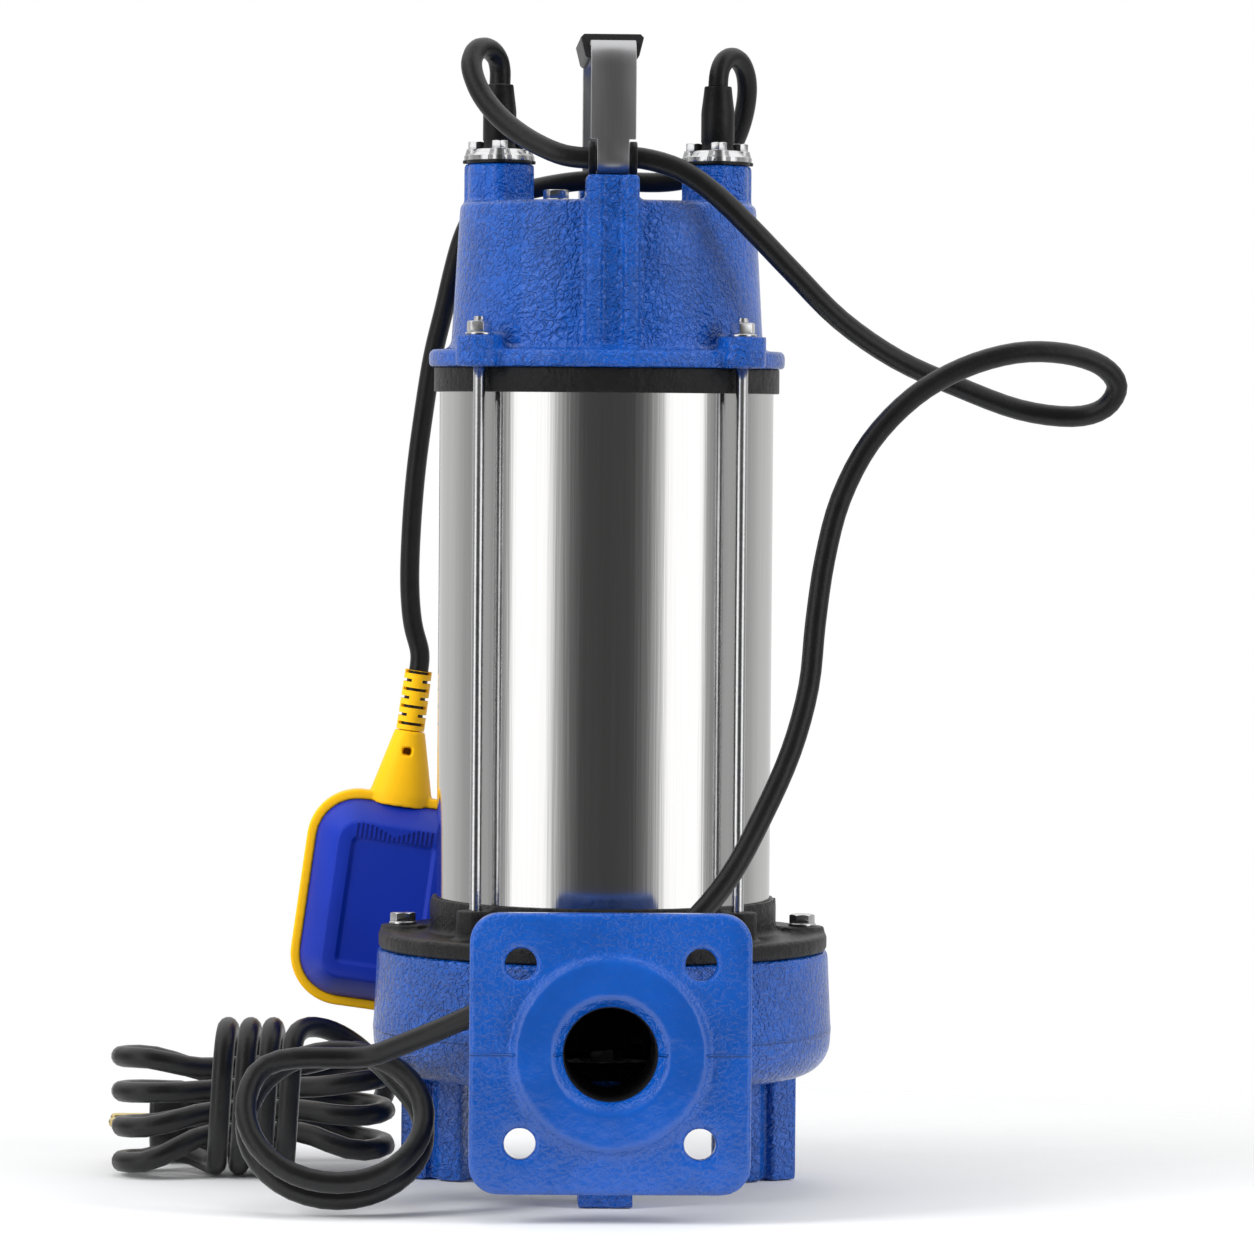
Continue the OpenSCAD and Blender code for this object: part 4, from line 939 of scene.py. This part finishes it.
def hexagon(name, across, height, domed_below=False):
    """A hexagon with the corners turned off, as on a machined head or nut."""
    corner = across / math.sqrt(3)
    bpy.ops.mesh.primitive_cylinder_add(vertices=6, radius=corner * MM, depth=height * MM,
                                        location=(0, 0, height / 2 * MM))
    head = bpy.context.view_layer.objects.active
    head.name = name
    bpy.ops.object.transform_apply(location=True, rotation=True, scale=True)
    head.data.transform(Matrix.Rotation(math.radians(30), 4, "Z"))
    flat = across / 2 * 0.95
    drop = (corner + 0.2 - flat) * 0.5
    low = [(0, -1), (corner + 0.2, -1)] if not domed_below else [
        (0, 0), (flat, 0), (corner + 0.2, drop)]
    turned = lathe(name + "_turned", low + [(corner + 0.2, height - drop), (flat, height),
                                            (0, height)], 48)
    modify(head, "BOOLEAN", operation="INTERSECT", object=turned, solver="EXACT")
    bpy.data.objects.remove(turned)
    modify(head, "BEVEL", width=0.18 * MM, segments=2, limit_method="ANGLE",
           angle_limit=math.radians(25))
    smooth(head, 30.0)
    return head


def shank(name, radius, low, high):
    """A threaded shank between two heights."""
    profile = [(0, low), (radius * 0.8, low)]
    z = low + 0.5
    while z + THREAD_PITCH < high:
        profile += [(radius, z), (radius * 0.86, z + THREAD_PITCH / 2)]
        z += THREAD_PITCH
    profile += [(radius, z), (radius, high), (0, high)]
    made = lathe(name, profile, 24)
    smooth(made, 40.0)
    return made


def screw(name, across, head, radius, length, places):
    """Hexagon screws at these places, with their threaded shanks."""
    one = joined(name, [shank(name + "_shank", radius, -length, 0.1), hexagon(name, across, head)])
    return dress(repeated(one, places), "bright_fasteners")


def washer(name, outer, hole, thick, places):
    one = lathe(name, [(hole, 0.1), (hole + 0.1, 0), (outer - 0.25, 0), (outer, 0.25),
                       (outer, thick - 0.25), (outer - 0.25, thick), (hole + 0.2, thick),
                       (hole, thick - 0.2), (hole, 0.1)], 48)
    smooth(one, 35.0)
    return repeated(one, places)


class PUMP_OT_fasteners(bpy.types.Operator):
    """Model the screws, nuts and washers that show"""

    bl_idname = "pump.fasteners"
    bl_label = "Fasteners"

    def execute(self, context):
        quarters, corners = (0, 90, 180, 270), (45, 135, 225, 315)
        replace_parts(screw("flange_bolts", 10.0, 4.0, 2.98, 27.7,
                          around(BOLT_R, quarters, BOLT_Z + WASHER_T)), "casing_bolts")
        rings = washer("flat_washers", 6.25, 3.2, WASHER_T,
                       around(BOLT_R, quarters, BOLT_Z) + around(ROD_R, corners, NUT_Z))
        dress(rings, "bright_fasteners", stands_for=["washers"])
        nut = hexagon("rod_nuts", 10.0, 5.0, domed_below=True)
        dress(repeated(nut, around(ROD_R, corners, NUT_Z + WASHER_T)), "bright_fasteners",
              stands_for=["tie_rod_nuts"])
        lobes = [at(side * GLAND_X, 0, 0) @ place for side in (-1, 1)
                 for place in around(GLAND_SCREW_R, (-90, 30, 150), GLAND_TOP)]
        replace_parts(screw("gland_bolts", 7.0, 3.5, 1.98, 17.0, lobes), "gland_screws")
        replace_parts(screw("strap_bolts", 8.0, 3.0, 2.48, 9.0,
                          [at(0, side * HANDLE_SCREW_Y, HANDLE_SCREW_Z) for side in (-1, 1)]),
                    "handle_screws")
        self.air_plug()
        return {"FINISHED"}

    def air_plug(self):
        ring = washer("air_plug_ring", 6.0, 2.9, WASHER_T, [Matrix.Identity(4)])
        head = hexagon("air_plug_head", 10.0, 4.0)
        head.data.transform(at(0, 0, WASHER_T))
        stem = shank("air_plug_stem", 2.98, -6.5, WASHER_T)
        plug = joined("vent_plug", [ring, stem, head])
        plug.data.transform(at(*AIR_PLUG_AT))
        dress(plug, "bright_fasteners", stands_for=["air_plug"])


# ---------------------------------------------------------------- glands and handle


class PUMP_OT_glands(bpy.types.Operator):
    """Model the gland plates, their gaskets and the cable boots"""

    bl_idname = "pump.glands"
    bl_label = "Cable Glands"

    def execute(self, context):
        edged("polished_gland_plates", "gland_plates", "bright_fasteners", 0.45 * MM, 3, 25.0)
        edged("rubber_gland_gaskets", "gland_gaskets", "rubber", 0.3 * MM)
        for side, name, node, cord in ((-1, "power_sleeve", "power_boot", POWER_CORD_D),
                                       (1, "float_sleeve", "float_boot", FLOAT_CORD_D)):
            mouth = [(cord / 2 + 0.1, BOOT_TOP), (0, BOOT_TOP)]
            sleeve = lathe(name, BOOT_PROFILE + mouth, 48)
            sleeve.data.transform(at(side * GLAND_X, 0, 0))
            smooth(sleeve, 40.0)
            dress(sleeve, "rubber", stands_for=[node])
        return {"FINISHED"}


class PUMP_OT_handle(bpy.types.Operator):
    """Model the strap handle, its grip and the cable grommet"""

    bl_idname = "pump.handle"
    bl_label = "Handle"

    def execute(self, context):
        edge = context.scene.pump_sizes.strap_edge
        edged("bent_strap", "handle_strap", "handle_stainless", edge, 2, 40.0)
        cast("moulded_grip", "handle_grip", "grip_plastic", 0.5 * MM, 3, 0.8)
        edged("cord_grommet", "cable_grommet", "rubber", 0.6 * MM, 3)
        return {"FINISHED"}


# ---------------------------------------------------------------- float switch


def float_place():
    return (Matrix.Translation(Vector(FLOAT_TOP) * MM)
            @ Matrix.Rotation(math.radians(FLOAT_LEAN), 4, "Y"))


def inset(thickness, depth):
    bpy.ops.mesh.inset(thickness=thickness * MM, depth=depth * MM, use_even_offset=True)


def float_shell(name, side, panel_depth):
    """A moulded half of the float: rounded outline, sloping sides, a rim and a sunk panel."""
    half = FLOAT_FRAME_T / 2
    low = half - 3.0
    middle = -FLOAT_NECK_H - FLOAT_H / 2
    bpy.ops.mesh.primitive_cube_add(size=1.0, location=(0, side * (low + half) / 2 * MM,
                                                        middle * MM),
                                    scale=((FLOAT_W - SHELL_SETBACK) * MM, (half - low) * MM,
                                           (FLOAT_H - SHELL_SETBACK) * MM))
    shell = bpy.context.view_layer.objects.active
    shell.name = name
    bpy.ops.object.transform_apply(location=True, rotation=True, scale=True)
    edit(shell)
    bpy.ops.mesh.select_all(action="DESELECT")
    bpy.ops.mesh.select_mode(type="EDGE")
    close()
    for line in shell.data.edges:
        a, b = (shell.data.vertices[i].co for i in line.vertices)
        line.select = abs(a.y - b.y) > 1 * MM
    bpy.ops.object.mode_set(mode="EDIT")
    bpy.ops.mesh.bevel(offset=SHELL_CORNER_R * MM, segments=14, affect="EDGES", clamp_overlap=False)
    close()
    select_faces(shell, lambda middle_at, normal: normal.y * side > 0.99)
    # Wall, slope, shoulder, crown, rim, edge of the panel, panel
    for thickness, depth in ((1.4, 3.2), (7.4, 10.6), (1.2, 1.2), (0.9, 0.25), (5.4, 0.0),
                             (1.6, -panel_depth), (0.5, -0.1)):
        inset(thickness, depth)
    close()
    modify(shell, "BEVEL", width=0.35 * MM, segments=2, limit_method="ANGLE",
           angle_limit=math.radians(38))
    return shell


def grip_grooves(side):
    """The row of fine grooves between the neck and the panel, shorter under the neck."""
    grooves = []
    for i in range(-8, 9):
        x = GROOVE_PITCH * i
        top = GROOVE_TOP - GROOVE_DIP * max(0.0, 1.0 - abs(x) / GROOVE_DIP_W)
        grooves.append(block("groove", (GROOVE_W, GROOVE_DEPTH, top - GROOVE_LOW),
                             at(x, side * FLOAT_T / 2, (top + GROOVE_LOW) / 2)))
    return joined("grooves", grooves)


def slotted_relief(depth):
    """The strain relief: a sleeve with staggered slots down to the cable."""
    foot = [RELIEF_LEN * (i + 0.1) / RELIEF_ROWS for i in range(RELIEF_ROWS)]
    profile = [(0, 0)]
    for i, z in enumerate(foot):
        r = RELIEF_R - 0.04 * i
        profile += [(r, z), (r, z + 2.15), (r - 0.02, z + 2.15), (r - 0.02, z + 3.8)]
    profile += [(5.9, RELIEF_LEN), (4.6, RELIEF_LEN), (0, RELIEF_LEN)]
    sleeve = lathe("slotted_relief", profile, 32)
    rows_z = [z + SLOT_MIDDLE for z in foot]

    def in_slot(middle, normal):
        if abs(normal.z) > 0.6 or math.hypot(middle.x, middle.y) < 5.5 * MM:
            return False
        row = next((i for i, z in enumerate(rows_z) if abs(middle.z - z * MM) < 0.5 * MM), None)
        if row is None:
            return False
        turn = math.degrees(math.atan2(middle.y, middle.x)) + (0 if row % 2 else 90)
        return abs((turn + 90) % 180 - 90) < 62

    select_faces(sleeve, in_slot)
    bpy.ops.mesh.inset(thickness=0.12 * MM, depth=0.0)
    bpy.ops.mesh.extrude_region_move(TRANSFORM_OT_translate={"value": (0, 0, 0)})
    share = (6.4 - depth) / 6.4
    bpy.ops.transform.resize(value=(share, share, 1.0), center_override=(0, 0, 14 * MM))
    sleeve.data.materials.append(finish_for("float_yellow"))
    sleeve.data.materials.append(finish_for("cable_rubber"))
    sleeve.active_material_index = 1
    bpy.ops.object.material_slot_assign()
    close()
    smooth(sleeve, 25.0)
    return sleeve


class PUMP_OT_float(bpy.types.Operator):
    """Model the float switch"""

    bl_idname = "pump.float_switch"
    bl_label = "Float Switch"

    def execute(self, context):
        sizes = context.scene.pump_sizes
        for side, name, node in ((-1, "float_front", "float_front_shell"),
                                 (1, "float_back", "float_back_shell")):
            shell = float_shell(name, side, sizes.panel_depth / MM)
            grooves = grip_grooves(side)
            modify(shell, "BOOLEAN", operation="DIFFERENCE", object=grooves, solver="EXACT")
            bpy.data.objects.remove(grooves)
            shell.data.transform(float_place())
            smooth(shell, 32.0)
            dress(shell, "float_blue", "float", [node])
        window = block("window", (4.4, 12.0, 3.6), float_place() @ at(0, -10.0, -9.5))
        cast("moulded_frame", "float_frame", "float_yellow", 0.7 * MM, 3, 0.7, "float", window)
        relief = slotted_relief(sizes.slot_depth / MM)
        relief.data.transform(float_place())
        dress(relief, "float_yellow", "float", ["float_strain_relief"])
        return {"FINISHED"}


# ---------------------------------------------------------------- remaining solids


class PUMP_OT_solids(bpy.types.Operator):
    """Finish the CAD solids that are shown as they are"""

    bl_idname = "pump.solids"
    bl_label = "Other Solids"

    def execute(self, context):
        for name, node in frame["nodes"].items():
            if not node.hide_render:
                for slot in node.material_slots:
                    slot.material = finish_for(SLOT_OF[name])
        return {"FINISHED"}


# ---------------------------------------------------------------- stage


def grey(tone):
    return (tone, tone, tone)


def studio_world(world):
    """White to the camera, dark and bright bands to glossy surfaces, a plain level to the rest."""
    tree = Tree(world)
    across, along, up = tree.split(tree.node("ShaderNodeTexCoord", out="Generated"))
    turn = across.maths("ARCTAN2", -1.0 * along).maths("ABSOLUTE") * (1 / math.pi)
    stops = [(place, (*grey(tone), 1.0)) for place, tone in BAND_TONES]
    bands = tree.node("ShaderNodeValToRGB", {"stops": stops}, {0: turn})
    aside = turn.between(0.12, 0.4)
    over = tree.mix(aside, grey(0.12), grey(1.2))
    under = tree.mix(aside, grey(0.1), grey(0.6))
    glossy = tree.mix(up.between(0.3, 0.7), bands, over)
    glossy = tree.mix((-1.0 * up).between(0.05, 0.4), glossy, under)
    rays = tree.node("ShaderNodeLightPath").socket.node
    is_camera = Wire(tree, rays.outputs["Is Camera Ray"])
    is_glossy = Wire(tree, rays.outputs["Is Glossy Ray"])
    around_level = tree.mix(turn.between(0.1, 0.4), grey(0.6), grey(1.0))
    plain_level = tree.mix(up.between(0.1, 0.7), around_level, grey(0.7))
    colour = tree.mix(is_camera, tree.mix(is_glossy, plain_level, glossy), grey(1.0))
    light = tree.node("ShaderNodeBackground", None, {"Color": colour, "Strength": 1.0})
    tree.node("ShaderNodeOutputWorld", None, {"Surface": light})


def floor_finish():
    """Pale floor that keeps the shadow and fades into the background."""
    material = bpy.data.materials.new("pale_floor")
    tree = Tree(material)
    where = tree.where()
    x, y, _ = tree.split(where)
    away = (x * x + y * y) ** 0.5
    fade = away.between(0.16, 0.62)
    grain = tree.noise(where, 40.0, 2.0)
    colour = tree.mix(grain, (0.77, 0.775, 0.78), (0.79, 0.795, 0.8))
    matte = tree.node("ShaderNodeBsdfDiffuse", None, {"Color": colour})
    clear = tree.node("ShaderNodeBsdfTransparent")
    shader = tree.node("ShaderNodeMixShader", None, {0: fade, 1: matte, 2: clear})
    tree.node("ShaderNodeOutputMaterial", None, {"Surface": shader})
    return material


def soft_lamp(name, place, target, size, power):
    light = bpy.data.lights.new(name, "AREA")
    light.shape = "RECTANGLE"
    light.size, light.size_y = size
    light.energy = power
    lamp = linked(name, light)
    lamp.location = place
    aim = Vector(target) - Vector(place)
    lamp.rotation_euler = aim.to_track_quat("-Z", "Y").to_euler()
    lamp.visible_glossy = False


class PUMP_OT_stage(bpy.types.Operator):
    """Set up the camera, the lights and the floor"""

    bl_idname = "pump.stage"
    bl_label = "Stage"

    def execute(self, context):
        scene = context.scene
        camera = bpy.data.cameras.new("camera")
        camera.sensor_width = SENSOR_MM
        camera.lens = LENS_MM
        camera.clip_end = 50.0
        eye = linked("camera", camera)
        eye.location = CAMERA_AT
        eye.rotation_euler = [math.radians(v) for v in CAMERA_TURN]
        scene.camera = eye
        scene.view_settings.view_transform = "Standard"
        scene.world = bpy.data.worlds.new("studio")
        studio_world(scene.world)
        for lamp in LAMPS:
            soft_lamp(*lamp)
        bpy.ops.mesh.primitive_plane_add(size=FLOOR_SIZE, location=(0, 0, -FLOOR_DROP))
        floor = bpy.context.view_layer.objects.active
        floor.name = "floor"
        floor.data.materials.append(floor_finish())
        return {"FINISHED"}


# ---------------------------------------------------------------- panel and registration


STEPS = (PUMP_OT_stage, PUMP_OT_power_cord, PUMP_OT_float_cord, PUMP_OT_castings,
         PUMP_OT_motor_tube, PUMP_OT_fasteners, PUMP_OT_glands, PUMP_OT_handle, PUMP_OT_float,
         PUMP_OT_solids)


class PUMP_PT_panel(bpy.types.Panel):
    """The pump's settings and the steps that build it"""

    bl_label = "Sump Pump"
    bl_idname = "PUMP_PT_panel"
    bl_space_type = "VIEW_3D"
    bl_region_type = "UI"
    bl_category = "Pump"

    def draw(self, context):
        for group in (context.scene.pump_look, context.scene.pump_sizes):
            box = self.layout.box()
            for name in group.__annotations__:
                box.prop(group, name)
        for step in STEPS:
            self.layout.operator(step.bl_idname)


CLASSES = (PumpLook, PumpSizes, *STEPS, PUMP_PT_panel)


def register():
    for cls in CLASSES:
        bpy.utils.register_class(cls)
    bpy.types.Scene.pump_look = PointerProperty(type=PumpLook)
    bpy.types.Scene.pump_sizes = PointerProperty(type=PumpSizes)


def unregister():
    del bpy.types.Scene.pump_sizes
    del bpy.types.Scene.pump_look
    for cls in reversed(CLASSES):
        bpy.utils.unregister_class(cls)


def main():
    register()
    for step in STEPS:
        group, name = step.bl_idname.split(".")
        getattr(getattr(bpy.ops, group), name)()


if __name__ == "__main__":
    main()
